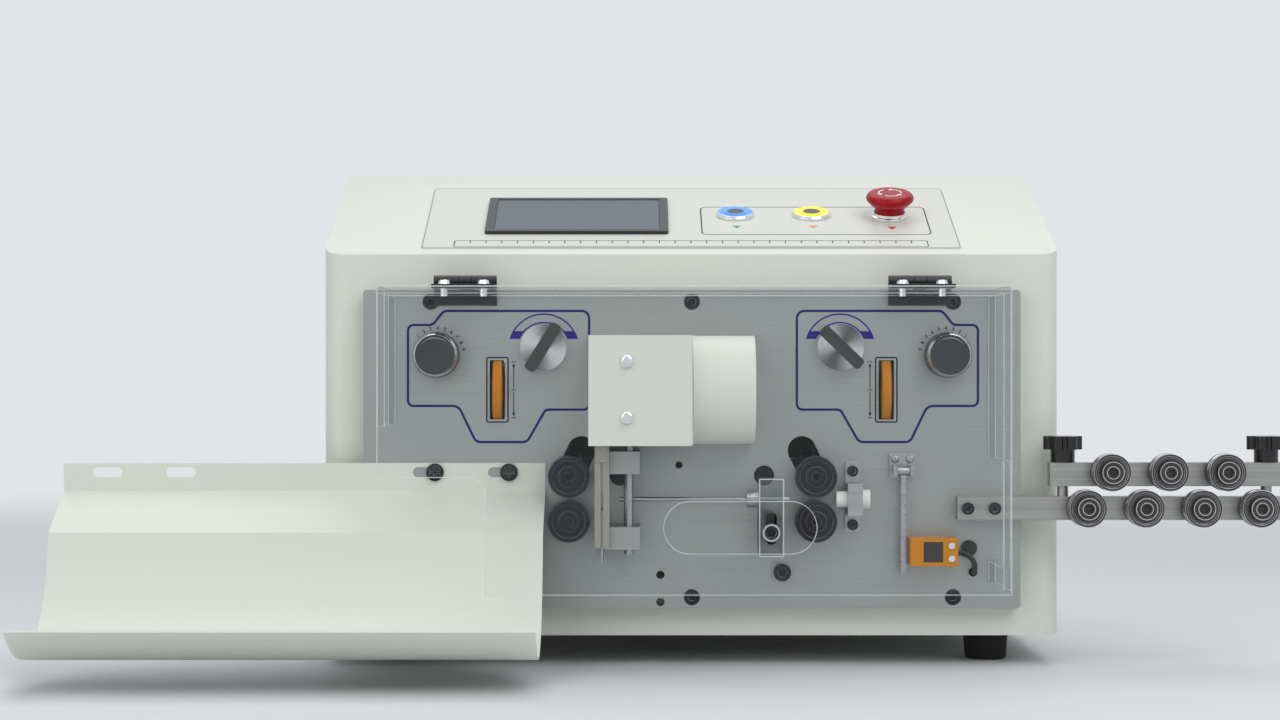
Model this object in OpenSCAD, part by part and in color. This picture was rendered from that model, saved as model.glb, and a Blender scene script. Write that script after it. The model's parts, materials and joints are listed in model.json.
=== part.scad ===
// Bench machine that measures, cuts and strips wire. Millimetres, +Z up, front towards -Y.
// The drawing frame has X 0 on the case's middle, Y 0 on its front face and Z 0 under the feet.

/* [Case] */
// Width of the case
case_w = 400; // [380:5:460]
// Depth of the case
case_d = 300; // [260:5:360]
// Height of the case above its underside
case_h = 260; // [255:1:290]
// Height of the upright front above the underside
front_h = 207; // [204:1:212]
// How far back the sloping console runs
slope_run = 145; // [140:1:170]
// Sheet thickness of the case
sheet = 2; // [1.2:0.1:2.5]
// Radius of the case's upright front edges
edge_r = 11; // [6:1:14]
// Height of the rubber feet
foot_h = 16; // [10:1:22]
// Diameter of the rubber feet
foot_d = 25; // [20:1:32]
// Distance of each foot's centre from the sides
foot_inset = 36; // [30:1:50]

/* [Front plate] */
// Width of the aluminium plate
plate_w = 355; // [350:1:364]
// Height of the aluminium plate
plate_h = 172; // [170:1:178]
// Thickness of the aluminium plate
plate_t = 10; // [9:0.5:12]
// Height of the plate's lower edge
plate_z = 31.5; // [29:0.5:33]
// Radius of the socket screw heads
screw_r = 4; // [3:0.5:4.5]

/* [Feed] */
// Height of the wire line
wire_z = 91.3; // [90.5:0.1:92]
// How far the wire line stands off the plate
wire_off = 17; // [16:0.5:18]
// Diameter of the feed rollers
roller_d = 22; // [18:0.5:22.5]
// Width of the feed rollers
roller_w = 10; // [8:0.5:12]
// Gap between upper and lower feed rollers
roller_gap = 1.8; // [1.2:0.1:2.4]
// Distance of the feed rollers from the middle
roller_x = 66; // [64:0.5:68]
// Distance from a swing arm's pivot to its roller
arm_len = 27; // [26:0.5:28]
// Radius of the feed shafts
shaft_r = 4; // [3:0.25:4.5]
// Number of teeth on each feed pinion
teeth = 20; // [16:1:24]
// Thickness of the swing arms
arm_t = 8; // [6:0.5:10]

/* [Controls] */
// Gap between the pressure knobs and the cover's sides
knob_clear = 10.5; // [6:0.5:14]
// Diameter of the pressure knobs
knob_d = 24; // [20:0.5:28]
// Length of the pressure knobs
knob_len = 18; // [14:0.5:22]
// Distance of the lift levers from the middle
lever_x = 80; // [79:0.5:81]
// Height of the lift levers' shafts
lever_z = 172.4; // [171:0.2:174]
// Diameter of the lift levers' discs
lever_d = 25; // [22:0.5:28]
// Throw of the lift levers' cams
cam_throw = 6; // [4:0.25:6]
// Distance of the thumbwheels from the middle
wheel_x = 105; // [104:0.5:108]
// Height of the thumbwheels' axles
wheel_z = 149.5; // [148:0.5:151]
// Radius of the thumbwheels
wheel_r = 20; // [19:0.5:21]
// Width of the thumbwheels
wheel_w = 7; // [5:0.5:8]

/* [Clear cover] */
// Width of the clear cover
cover_w = 328; // [326:1:340]
// Thickness of the acrylic sheet
acrylic = 4; // [3:0.5:5]
// How far the cover's face stands off the case front
cover_y = 80; // [78:1:90]
// Height of the cover's lower edge
cover_z = 44; // [42:1:46]
// Length of the hand slot
slot_len = 78.8; // [70:1:84]
// Height of the hand slot
slot_h = 26.8; // [24:0.5:30]

/* [Tray] */
// Length of the delivery tray
tray_len = 260; // [220:5:300]
// Sheet thickness of the tray
tray_t = 1.2; // [1:0.1:2]
// Distance of the tray's inner end left of the middle
tray_end = 79; // [77:0.5:81]

/* [Straightener] */
// Diameter of the grooved rollers
groove_d = 20; // [18:0.5:20.5]
// Pitch of the grooved rollers in a row
groove_pitch = 30.7; // [30.4:0.1:32]
// Height of the straightener bars
bar_h = 12.6; // [11:0.2:13]
// Depth of the straightener bars
bar_d = 10; // [8:0.5:10]
// Diameter of the star knobs
star_d = 21; // [18:0.5:22]

/* [Console] */
// Width of the printed console panel
panel_w = 296; // [290:1:310]
// Length of the printed console panel up the slope
panel_len = 113; // [110:1:118]
// Width of the display's frame
display_w = 102; // [90:1:106]
// Height of the display's frame
display_h = 64; // [58:1:68]
// Diameter of the push buttons' bezels
bezel_d = 22; // [20:0.5:24]
// Diameter of the stop button's head
stop_d = 27; // [24:0.5:32]

/* [Hidden] */
$fn = 48;

LEFT = -1;
RIGHT = 1;
// Running clearance of a shaft in its hole, and clearance beside a sliding or swinging piece
run = 0.05;
free = 0.3;
// Overshoot of a cut past the face it opens
eps = 1;

// Case
case_z = foot_h;
case_top = case_z + case_h;
slope_z = case_z + front_h;
slope_deg = atan2(case_h - front_h, slope_run);
plate_y = -plate_t;
plate_top = plate_z + plate_h;
plate_screw_x = [-141, 0, 141];
plate_screw_z = [plate_z + 6, plate_top - 6.5];
window_w = plate_w - 20;
window_z = [plate_screw_z[0] + 5, plate_screw_z[1] - 5];
screw_hole_r = 2.5;
counterbore = 5;

// Feed
pivot_x = roller_x - arm_len;
roller_mid = (roller_d + roller_gap) / 2;
upper_z = wire_z + roller_mid;
lower_z = wire_z - roller_mid;
wire_y = plate_y - wire_off;
roller_y = wire_y - roller_w / 2;
arm_y = sheet;
arm_boss_r = shaft_r + 2;
pivot_r = 5.35;
arm_slot = [-6.5, 13.5];
arm_slot_r = arm_boss_r + 1.7;
cam_r = 10;
cam_rest = 50;
finger_w = 8;
finger_x = lever_x + cam_throw * cos(cam_rest) - cam_r - free;
finger_top = lever_z + 8;
pinion_y = [22, 32];
pinion_depth = 2.2 * roller_mid * 2 / teeth;
motor_y = 44;
motor_size = 57;
motor_len = 56;
bearing_r = shaft_r + 4;
bearing_w = 6;

// Controls
knob_x = cover_w / 2 - acrylic - knob_clear - knob_d / 2;
knob_z = lever_z - 4;
knob_shaft_r = 3;
wheel_y = plate_y + 13;
axle_r = 2.5;
wheel_ear_t = 3;

// Cutter
cutter_x = [-55, -1, 33];
cutter_z = [120.7, 178.6];
cutter_y = [-62, -55];
cutter_wall = 1.5;
blade_x = -48;
blade_t = 1;
guide_w = 3.3;
guide_y = [-50, -45];
guide_z = 66.5;
clamp_t = 2;
clamp_h = 8.8;
cutter_screw_x = -34;
cutter_screw_y = plate_y - 22;
cutter_screw_r = 2.5;
gearbox_z = [129, 170];
gearbox_y = -52;
cutter_motor_size = 35;
cover_screw_x = -34.8;
cover_screw_z = [135.3, 164.8];
blade_gap = 5;

// Guides and sensor
tube_r = 1.15;
tube_x = [-39, 51.8];
ferrule_x = [29, 35.3];
holder_x = [35.3, 48.6];
holder_z = [60.8, 102.5];
holder_y = -35;
holder_screw = [41.7, 74];
ear_x = 86.5;
ear_w = 7.8;
ear_z = [73, 111];
ear_screw_z = [76.9, 105.8];
bush_x = [76.7, 94.7];
bush_r = 4.25;
bush_bore = 1.6;
hang_x = 113.5;
hang_z = 106;
hang_y = plate_y - 8;
hang_foot = 51;
sensor_x = [116.5, 142];
sensor_z = [55.4, 70.4];
sensor_y = plate_y - 17;
cable_r = 1.5;
cable_hole = [151.8, 51.1];
// Route of the sensor's lead from its end face into the plate
cable_route = [[142, -19, 62], [145, -19, 62], [148, -20, 61], [150.5, -20, 58.5], [151.8, -19, 55.5],
    [152, -16.5, 53], [151.8, -13.5, 51.3], [151.8, -10, 51.1], [151.8, -4, 51.1]];
grommet = [149.6, 64.1];
grommet_r = 4.3;

// Straightener
bar_x = [142.4, 321];
slide_x = 192;
bar_z = 79.7;
slide_z = 97.9;
bar_screw_x = [147.8, 162.2];
groove_x = 210.5;
groove_w = 12;
groove_off = 2;
groove_lower_z = bar_z + bar_h / 2 + 0.4;
groove_upper_z = slide_z + bar_h / 2 + 1.5;
spindle_r = 4;
stud_x = [199.5, 309];
stud_r = 3;
star_z = slide_z + bar_h;
star_stem = 7;
star_h = 7.2;

// Cover and hinges
hinge_axis = [plate_y - 2, plate_top + 4.5];
barrel_r = 3.25;
pin_r = 1.5;
hinge_x = [-122.2, 123];
hinge_w = 34;
leaf_t = 2.2;
leaf_drop = 8.5;
cover_top_z = plate_top + 0.5;
cover_back = plate_y - 1;
notch_x = -108;
notch_z = 104.8;
notch_r = 9;
slot_x = 23.8;
slot_z = 79;
side_cut = [57.5, 113];
side_strip = 3;
side_cut_r = 5;
left_side_z = 131;

// Tray
tray_x = -tray_end - tray_len;
tray_top = 110;
tray_fold = [[plate_y, tray_top], [plate_y, 94], [-51, 74]];
tray_bend = [[-51, 74], [-58, 16], [-115, -3], [-159, 32.6]];
tray_front = tray_bend[3][0];
tray_slot_x = [-315.6, -275.7, -142.4, -102];
tray_slot_z = 105;
tray_screw_x = [-138.6, -98.7];

// Console, along the slope
panel_t0 = 9.5;
panel_t = 0.8;
display_at = [-63.2, 65.5];
start_at = [26, 69];
pause_at = [69, 69];
stop_at = [112.8, 65];
button_r = 6.5;
barrel_d = 16;
stop_stem_r = 7;
stop_core_r = 4;
stop_barrel_r = stop_stem_r + 2.4;
stop_travel = 2.5;
stop_rise = 14.6;
stop_low = 3;
collar_h = 3.6;
skirt_r = 8.4;

// Back and inside
rear_t = 1.5;
inlet_w = 52;
inlet_h = 29;
inlet_at = [case_w / 2 - 70, 62];
inlet_t = 3;
rocker_w = 13;
rocker_h = 20;
rocker_dx = 12;
socket_dx = -9;
back_y = case_d + rear_t + inlet_t;
supply = [110, 170, 30];
supply_gap = 20;
board = [140, 130, 1.6];
post_r = 3;
post_h = 8;
post_in = 6;
driver_w = 26;
driver_h = 12;
driver_pitch = 40;

// Middle of the whole machine's footprint
mid_x = (tray_x + bar_x[1]) / 2;
mid_y = (tray_front + back_y) / 2;

// Rounded rectangle centred on the origin
module round_rect(w, h, r) {
    square([w - 2 * r, h], center = true);
    square([w, h - 2 * r], center = true);
    for (x = [-1, 1], y = [-1, 1]) translate([x * (w / 2 - r), y * (h / 2 - r)]) circle(r);
}

// Outline of X and Z, drawn out from y0 back to y1
module slab(y0, y1) translate([0, y1, 0]) rotate([90, 0, 0]) linear_extrude(y1 - y0) children();

// Outline of Y and Z, drawn out from x0 to x1
module side_slab(x0, x1) translate([x0, 0, 0]) rotate([90, 0, 90]) linear_extrude(x1 - x0) children();

module block(x, y, z) translate([x[0], y[0], z[0]]) cube([x[1] - x[0], y[1] - y[0], z[1] - z[0]]);

module rod_x(r, x0, x1) translate([x0, 0, 0]) rotate([0, 90, 0]) cylinder(r = r, h = x1 - x0);

module rod_y(r, y0, y1) translate([0, y0, 0]) rotate([-90, 0, 0]) cylinder(r = r, h = y1 - y0);

module rod_z(r, z0, z1) translate([0, 0, z0]) cylinder(r = r, h = z1 - z0);

module at(x, z) translate([x, 0, z]) children();

// The right half's pieces, mirrored for the left
module on_side(side) mirror([side == LEFT ? 1 : 0, 0, 0]) children();

module on_slope(p = [0, 0]) translate([0, 0, slope_z]) rotate([slope_deg, 0, 0])
    translate([p[0], p[1], 0]) children();

// Outline of a slot with round ends, from the origin to a point
module slot_to(p, r) {
    rotate(atan2(p[1], p[0])) translate([0, 0.1 - r]) square([norm(p), 2 * r - 0.2]);
    circle(r);
    translate(p) circle(r);
}

// Socket screw with its head towards the front
module socket_screw(r, head, shank, y) {
    difference() {
        rod_y(r, y - head, y);
        translate([0, y - head - eps, 0]) rotate([-90, 0, 0])
            cylinder(r = r * 0.6, h = head * 0.6 + eps, $fn = 6);
    }
    if (shank > 0) rod_y(screw_hole_r - run, y - eps, y + shank);
}

module pan_screw(r, y) {
    difference() {
        translate([0, y, 0]) rotate([90, 0, 0]) rotate_extrude()
            polygon([[0, 0], [r, 0], [r, r * 0.3], [r * 0.75, r * 0.55], [0, r * 0.65]]);
        for (a = [0, 90]) rotate([0, a, 0])
            translate([-r * 0.6, y - r, -r * 0.1]) cube([r * 1.2, r * 0.65, r * 0.2]);
    }
}

// Side outline of the case, drawn smaller all round by the wall
module case_side(wall) {
    lift = wall * tan(slope_deg / 2);
    polygon([[wall, case_z - (wall > 0 ? eps : 0)], [wall, slope_z - wall * tan((90 - slope_deg) / 2)],
        [slope_run + lift, case_top - wall], [case_d + (wall > 0 ? eps : 0), case_top - wall],
        [case_d + (wall > 0 ? eps : 0), case_z - (wall > 0 ? eps : 0)]]);
}

// Plan of the case with its round front edges
module case_plan(wall) {
    w = case_w / 2 - wall;
    r = max(edge_r - wall, 0.5);
    translate([-w, wall + r]) square([2 * w, case_d + eps - wall - r]);
    translate([-w + r, wall]) square([2 * (w - r), r + eps]);
    for (x = [-w + r, w - r]) translate([x, wall + r]) circle(r);
}

module case_solid(wall) intersection() {
    side_slab(-case_w / 2 + wall, case_w / 2 - wall) case_side(wall);
    translate([0, 0, case_z - eps]) linear_extrude(case_h + 2 * eps) case_plan(wall);
}

module console_holes(clear) {
    translate([display_at[0], display_at[1], -20])
        linear_extrude(40) square([display_w - 5 + clear, display_h - 5 + clear], center = true);
    for (p = [start_at, pause_at]) translate([p[0], p[1], -20]) cylinder(d = barrel_d + clear, h = 40);
    translate([stop_at[0], stop_at[1], -20]) cylinder(r = stop_barrel_r + clear / 2, h = 40);
}

module case_shell() color("ivory") difference() {
    case_solid(0);
    case_solid(sheet);
    block([-window_w / 2, window_w / 2], [-eps, sheet + eps], window_z);
    for (x = plate_screw_x, z = plate_screw_z) at(x, z) rod_y(screw_hole_r, -eps, sheet + eps);
    on_slope() console_holes(0.4);
}

module base_plate() color("gainsboro") difference() {
    union() {
        block([-case_w / 2 + sheet + 0.1, case_w / 2 - sheet - 0.1], [edge_r, case_d - 0.1],
            [case_z, case_z + sheet]);
        for (side = [LEFT, RIGHT]) on_side(side) {
            for (y = [motor_y + 6, motor_y + motor_len - 8]) block(
                [roller_x - 22, roller_x + 22], [y, y + sheet], [case_z + sheet, lower_z - motor_size / 2]);
        }
    }
    for (x = [-1, 1], y = [foot_inset, case_d - foot_inset])
        translate([x * (case_w / 2 - foot_inset), y, case_z - eps]) cylinder(r = 2.2, h = sheet + 2 * eps);
}

module rear_cover() color("ivory") difference() {
    block([-case_w / 2, case_w / 2], [case_d, case_d + rear_t], [case_z, case_top]);
    for (x = [-90, 0, 90], i = [0:6]) translate([x, case_d, case_z + 150 + 11 * i])
        slab(-eps, rear_t + eps) round_rect(60, 4.5, 2);
    at(inlet_at[0], inlet_at[1]) translate([0, case_d, 0])
        slab(-eps, rear_t + eps) square([inlet_w - 5, inlet_h - 5], center = true);
    for (x = [-1, 1], z = [case_z + 12, case_top - 12]) translate([x * (case_w / 2 - 9), 0, z])
        rod_y(1.8, case_d - eps, case_d + rear_t + eps);
}

module rubber_feet() color([0.1, 0.1, 0.1])
    for (x = [-1, 1], y = [foot_inset, case_d - foot_inset])
        translate([x * (case_w / 2 - foot_inset), y, 0]) rotate_extrude()
            polygon([[0, 0], [foot_d / 2 - 2, 0], [foot_d / 2 - 1, 1.5], [foot_d / 2, foot_h], [2.1, foot_h],
                [2.1, foot_h + sheet], [0, foot_h + sheet]]);

module plate_holes() {
    for (x = plate_screw_x, z = plate_screw_z) at(x, z) {
        rod_y(screw_hole_r, plate_y - eps, eps);
        rod_y(screw_r + 0.4, plate_y - eps, plate_y + counterbore);
    }
    for (side = [LEFT, RIGHT]) on_side(side) {
        at(pivot_x, upper_z) rod_y(pivot_r + run, plate_y - eps, eps);
        at(roller_x, upper_z) slab(plate_y - eps, eps) slot_to(arm_slot, arm_slot_r);
        at(roller_x, lower_z) {
            rod_y(shaft_r + 1, plate_y - eps, eps);
            rod_y(bearing_r, -bearing_w, eps);
        }
        at(lever_x, lever_z) rod_y(shaft_r + run, plate_y - eps, eps);
        at(knob_x, knob_z) rod_y(knob_shaft_r + run, plate_y - eps, eps);
        translate([wheel_x, wheel_y, wheel_z]) rod_x(wheel_r + 0.5, -wheel_w / 2 - 0.5, wheel_w / 2 + 0.5);
    }
    for (p = [[-7, 108.9, 1.9], [-17, 49.5, 2.2], [-17, 34.9, 2.2], [cable_hole[0], cable_hole[1], 2.4],
        [grommet[0], grommet[1], grommet_r - 1]]) at(p[0], p[1]) rod_y(p[2], plate_y - eps, eps);
}

module front_plate() color("silver") difference() {
    at(0, plate_z + plate_h / 2) slab(plate_y, 0) round_rect(plate_w, plate_h, 2);
    plate_holes();
}

module fasteners() color([0.3, 0.3, 0.32]) {
    for (x = plate_screw_x, z = plate_screw_z)
        at(x, z) socket_screw(screw_r, counterbore - 1, 14, plate_y + counterbore);
    at(48.7, 51.1) socket_screw(4.8, 4, 0, plate_y);
    at(holder_screw[0], holder_screw[1]) socket_screw(4.9, 5, 0, holder_y);
    for (z = cover_screw_z) at(cover_screw_x, z) pan_screw(3.6, cutter_y[0]);
    for (x = tray_screw_x) at(x, tray_slot_z) pan_screw(4.8, plate_y - tray_t);
    for (x = bar_screw_x) at(x, bar_z + bar_h / 2) socket_screw(3.4, 3, 0, plate_y - bar_d);
    for (z = ear_screw_z) at(ear_x, z) socket_screw(3, 2.6, 0, plate_y - 3);
    for (x = [-1, 1], z = [case_z + 12, case_top - 12])
        translate([x * (case_w / 2 - 9), case_d + rear_t, z]) rotate([0, 0, 180]) pan_screw(3.2, 0);
}

module console_panel() color("whitesmoke") on_slope() difference() {
    translate([0, panel_t0 + panel_len / 2, 0]) linear_extrude(panel_t) round_rect(panel_w, panel_len, 3);
    console_holes(0.4);
}

module display() color([0.13, 0.14, 0.16]) on_slope(display_at) {
    translate([0, 0, -14]) linear_extrude(14 + panel_t + eps)
        square([display_w - 5, display_h - 5], center = true);
    difference() {
        translate([0, 0, panel_t]) linear_extrude(2) round_rect(display_w, display_h, 2);
        translate([0, 0, panel_t + 1.4]) linear_extrude(eps)
            square([display_w - 10, display_h - 7], center = true);
    }
}

module console_bezels() color("silver") on_slope() {
    for (p = [start_at, pause_at]) translate([p[0], p[1], 0]) rotate_extrude() polygon([
        [button_r + run, -18], [barrel_d / 2, -18], [barrel_d / 2, panel_t], [bezel_d / 2, panel_t],
        [bezel_d / 2, panel_t + 1.2], [bezel_d / 2 - 1.2, panel_t + 2.4], [button_r + run, panel_t + 1.8]]);
    translate([stop_at[0], stop_at[1], 0]) rotate_extrude() polygon([
        [stop_stem_r + run, -24], [stop_barrel_r, -24], [stop_barrel_r, panel_t],
        [stop_barrel_r + 1, panel_t], [stop_barrel_r + 1, panel_t + 1.6], [stop_barrel_r + 0.1, panel_t + 2.2],
        [stop_barrel_r + 0.1, panel_t + collar_h], [skirt_r + free, panel_t + collar_h],
        [skirt_r + free, panel_t + 0.2], [stop_stem_r + run, panel_t + 0.2]]);
}

module push_button(p) on_slope(p) translate([0, 0, -14]) rotate_extrude()
    polygon([[0, 0], [button_r, 0], [button_r, 16.6], [button_r - 0.7, 17.3], [0, 17.3]]);

module start_button() color("lightsteelblue") push_button(start_at);
module pause_button() color("khaki") push_button(pause_at);

module stop_plunger() color("dimgray") on_slope(stop_at) {
    translate([0, 0, -22]) cylinder(r = stop_stem_r, h = 22 + panel_t + stop_low - 0.2);
    cylinder(r = stop_core_r, h = panel_t + stop_rise - 3);
}

// Mushroom head whose skirt runs down inside the collar
module stop_head() color("crimson") on_slope(stop_at) translate([0, 0, panel_t]) difference() {
    r = stop_d / 2;
    shoulder = collar_h + stop_travel + free;
    round_z = stop_rise - 3.2;
    rotate_extrude() polygon([[0, stop_low], [skirt_r, stop_low], [skirt_r, shoulder],
        [skirt_r + 1.6, shoulder + 0.6], [r - 0.4, round_z - 1.2],
        for (a = [0:15:75]) [r - 3.2 + 3.2 * cos(a), round_z + 3.2 * sin(a)],
        [r - 3.4, stop_rise], [0, stop_rise]]);
    translate([0, 0, stop_low - eps])
        cylinder(r = stop_core_r + run, h = stop_rise - 3 - stop_low + free + eps);
}

module cutter_shape(wall) {
    z = [cutter_z[0] - (wall > 0 ? eps : 0), cutter_z[1] - wall];
    back = plate_y + (wall > 0 ? eps : 0);
    block([cutter_x[0] + wall, cutter_x[1] - (wall > 0 ? -eps : 0)], [cutter_y[0] + wall, back], z);
    drum_r = (cutter_z[1] - cutter_z[0]) / 2;
    mid = cutter_z[0] + drum_r;
    intersection() {
        translate([0, cutter_y[1] + drum_r, mid]) rod_x(drum_r - wall, cutter_x[1] - eps, cutter_x[2] - wall);
        block([cutter_x[1] - eps, cutter_x[2] - wall], [cutter_y[1], back], cutter_z);
    }
    block([cutter_x[1] - eps, cutter_x[2] - wall], [cutter_y[1] + drum_r, back],
        [cutter_z[0] + wall, cutter_z[1] - wall]);
}

module cutter_cover() color("ivory") difference() {
    cutter_shape(0);
    cutter_shape(cutter_wall);
}

// Two strips that the blades run between, and the clamp across them under the cover
module blade_guides() color("silver") {
    inner = blade_t / 2 + run;
    for (x = [blade_x - inner - guide_w, blade_x + inner])
        block([x, x + guide_w], guide_y, [guide_z, gearbox_z[0]]);
    block([blade_x - inner - guide_w, blade_x + inner + guide_w], [guide_y[0] - clamp_t, guide_y[0]],
        [cutter_z[0] - clamp_h, cutter_z[0] + eps]);
}

module feed_motor() at(roller_x, lower_z) difference() {
    union() {
        slab(motor_y, motor_y + motor_len) round_rect(motor_size, motor_size, 4);
        rod_y(19, motor_y - 1.6, motor_y + eps);
    }
    rod_y(shaft_r + run, motor_y - 2 - eps, motor_y + 12);
}

// Motor and right angle gearbox that turn the blade screw
module cutter_motor() {
    axis = (cutter_z[0] + cutter_z[1]) / 2;
    size = cutter_motor_size;
    side_slab(cutter_x[1], cutter_x[2] - cutter_wall - 0.5)
        translate([plate_y - size / 2 - 0.5, axis]) round_rect(size, size, 4);
    difference() {
        union() {
            block([cutter_x[0] + cutter_wall + 1, cutter_x[1]], [gearbox_y, plate_y], gearbox_z);
            for (z = cover_screw_z) at(cover_screw_x, z)
                rod_y(3.5, cutter_y[0] + cutter_wall, gearbox_y + eps);
        }
        translate([cutter_screw_x, cutter_screw_y, 0]) rod_z(cutter_screw_r + run, gearbox_z[0] - eps,
            gearbox_z[0] + 9);
    }
}

module stepper_motors() color([0.2, 0.2, 0.22]) {
    for (side = [LEFT, RIGHT]) on_side(side) feed_motor();
    cutter_motor();
}

module wire_tube() color("lightgray") translate([0, wire_y, wire_z]) difference() {
    union() {
        rod_x(tube_r, tube_x[0], tube_x[1]);
        rod_x(bush_r, ferrule_x[0], ferrule_x[1]);
    }
    rod_x(0.8, tube_x[0] - eps, tube_x[1] + eps);
}

// Slotted holder of the guide tube, and the eared block that carries the inlet bush
module wire_guides() color("silver") {
    difference() {
        block(holder_x, [holder_y, plate_y], holder_z);
        translate([0, wire_y, wire_z]) rod_x(tube_r + 0.02, holder_x[0] - eps, holder_x[1] + eps);
        slab(holder_y - eps, plate_y + eps)
            translate([holder_screw[0], holder_screw[1] + 2]) round_rect(6, 17, 2.9);
    }
    difference() {
        union() {
            at(ear_x, (ear_z[0] + ear_z[1]) / 2) slab(plate_y - 3, plate_y)
                round_rect(ear_w, ear_z[1] - ear_z[0], 2);
            block([ear_x - 4, ear_x + 4], [wire_y - 8, plate_y], [wire_z - 8.5, wire_z + 8.5]);
        }
        translate([0, wire_y, wire_z]) rod_x(bush_r + 0.02, ear_x - 5, ear_x + 5);
    }
}

module inlet_bush() color("white") translate([0, wire_y, wire_z]) rotate([0, 90, 0]) rotate_extrude()
    polygon([[bush_bore, bush_x[0]], [bush_r, bush_x[0]], [bush_r, ear_x + 4], [bush_r + 0.9, ear_x + 4],
        [bush_r + 0.9, bush_x[1]], [bush_bore + 1, bush_x[1]], [bush_bore, bush_x[1] - 1]]);

module lever_bracket() color("silver") {
    block([hang_x - 7, hang_x + 7], [plate_y - 2, plate_y], [hang_z - 4, hang_z + 9.4]);
    for (x = [hang_x - 5.5, hang_x + 3.5]) difference() {
        block([x, x + 2], [hang_y - 3, plate_y - 1], [hang_z - 3, hang_z + 3]);
        translate([0, hang_y, hang_z]) rod_x(1.2, x - eps, x + 2 + eps);
    }
    translate([0, hang_y, hang_z]) rod_x(1.2, hang_x - 5.5, hang_x + 5.5);
    for (x = [hang_x - 4, hang_x + 4]) at(x, hang_z + 6.2) pan_screw(2.2, plate_y - 2);
}

module swing_lever() color("gainsboro") difference() {
    union() {
        translate([0, hang_y, hang_z]) rod_x(2.4, hang_x - 3.2, hang_x + 3.2);
        block([hang_x - 1.5, hang_x + 1.5], [hang_y - 1, hang_y + 1], [hang_foot, hang_z]);
    }
    translate([0, hang_y, hang_z]) rod_x(1.2 + run, hang_x - 5, hang_x + 5);
}

module sensor() color("orange") difference() {
    block(sensor_x, [sensor_y, plate_y], sensor_z);
    for (z = [sensor_z[0] + 4, sensor_z[1] - 4]) at(sensor_x[1] - 3.5, z)
        rod_y(1.9, sensor_y - eps, sensor_y + 3);
    block([sensor_x[0] + 7, sensor_x[1] - 8], [sensor_y - eps, sensor_y + 0.4],
        [sensor_z[0] + 2, sensor_z[1] - 2]);
}

function unit(v) = v / norm(v);
function cross_ring(p, d, r, n) = let (u = unit(cross(d, [0.3, 0.2, 1])), w = cross(unit(d), u))
    [for (i = [0:n - 1]) p + r * (u * cos(360 * i / n) + w * sin(360 * i / n))];

// Round lead swept along a route
module lead(route, r, n = 8) {
    last = len(route) - 1;
    rings = [for (i = [0:last]) each cross_ring(route[i],
        route[min(i + 1, last)] - route[max(i - 1, 0)], r, n)];
    polyhedron(rings, concat([[for (i = [0:n - 1]) i]], [[for (i = [n - 1:-1:0]) last * n + i]],
        [for (j = [0:last - 1], i = [0:n - 1])
            [j * n + i, (j + 1) * n + i, (j + 1) * n + (i + 1) % n, j * n + (i + 1) % n]]));
}

module sensor_cable() color([0.08, 0.08, 0.08]) {
    lead(cable_route, cable_r);
    at(grommet[0], grommet[1]) {
        rod_y(grommet_r, plate_y - 1.5, plate_y);
        rod_y(grommet_r - 1.05, plate_y - eps, -2);
    }
}

// Stub that carries a grooved roller, with its retaining head
module spindle(x, z) at(x, z) {
    head_y = plate_y - bar_d - groove_off - groove_w;
    rod_y(spindle_r, head_y - 1, plate_y - bar_d + eps);
    difference() {
        rod_y(spindle_r + 1.5, head_y - 2.5, head_y - 0.2);
        translate([0, head_y - 4, 0]) rotate([-90, 0, 0]) cylinder(r = 2.4, h = 3, $fn = 6);
    }
}

module straightener_base() color("silver") {
    difference() {
        block(bar_x, [plate_y - bar_d, plate_y], [bar_z, bar_z + bar_h]);
        for (x = stud_x) translate([x, plate_y - bar_d / 2, 0])
            rod_z(stud_r, bar_z - eps, bar_z + bar_h + eps);
    }
    for (i = [0:3]) spindle(groove_x + i * groove_pitch, groove_lower_z);
    for (x = stud_x) translate([x, plate_y - bar_d / 2, 0]) rod_z(stud_r, bar_z, star_z + star_stem);
}

module straightener_slide() color("silver") difference() {
    union() {
        block([slide_x, bar_x[1]], [plate_y - bar_d, plate_y], [slide_z, slide_z + bar_h]);
        for (i = [0:2]) spindle(groove_x + (i + 0.42) * groove_pitch, groove_upper_z);
    }
    for (x = stud_x) translate([x, plate_y - bar_d / 2, 0])
        rod_z(stud_r + run, slide_z - eps, slide_z + bar_h + eps);
}

module groove_roller(i) {
    low = i < 4;
    x = groove_x + (low ? i : i - 4 + 0.42) * groove_pitch;
    z = low ? groove_lower_z : groove_upper_z;
    r = groove_d / 2;
    w = groove_w;
    color([0.22, 0.22, 0.24]) translate([x, plate_y - bar_d - groove_off, z]) rotate([90, 0, 0])
        rotate_extrude() polygon([[spindle_r + run, 0], [r, 0], [r, w * 0.3], [r - 2.2, w / 2], [r, w * 0.7],
            [r, w], [r - 1.6, w], [r - 2, w - 0.7], [spindle_r + 2, w - 0.7], [spindle_r + run, w - 0.2]]);
}

module groove_roller_1() groove_roller(0);
module groove_roller_2() groove_roller(1);
module groove_roller_3() groove_roller(2);
module groove_roller_4() groove_roller(3);
module groove_roller_5() groove_roller(4);
module groove_roller_6() groove_roller(5);
module groove_roller_7() groove_roller(6);

module star_knob(x) color([0.1, 0.1, 0.1]) translate([x, plate_y - bar_d / 2, star_z]) difference() {
    union() {
        cylinder(r = 6.5, h = star_stem);
        translate([0, 0, star_stem]) {
            cylinder(r = star_d / 2 - 2.5, h = star_h);
            for (a = [0:60:300]) rotate(a) translate([star_d / 2 - 3.2, 0, 0]) cylinder(r = 3.2, h = star_h);
        }
    }
    translate([0, 0, -eps]) cylinder(r = stud_r + run, h = star_stem + eps + star_h - 1.5);
}

module star_knob_left() star_knob(stud_x[0]);
module star_knob_right() star_knob(stud_x[1]);

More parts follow.
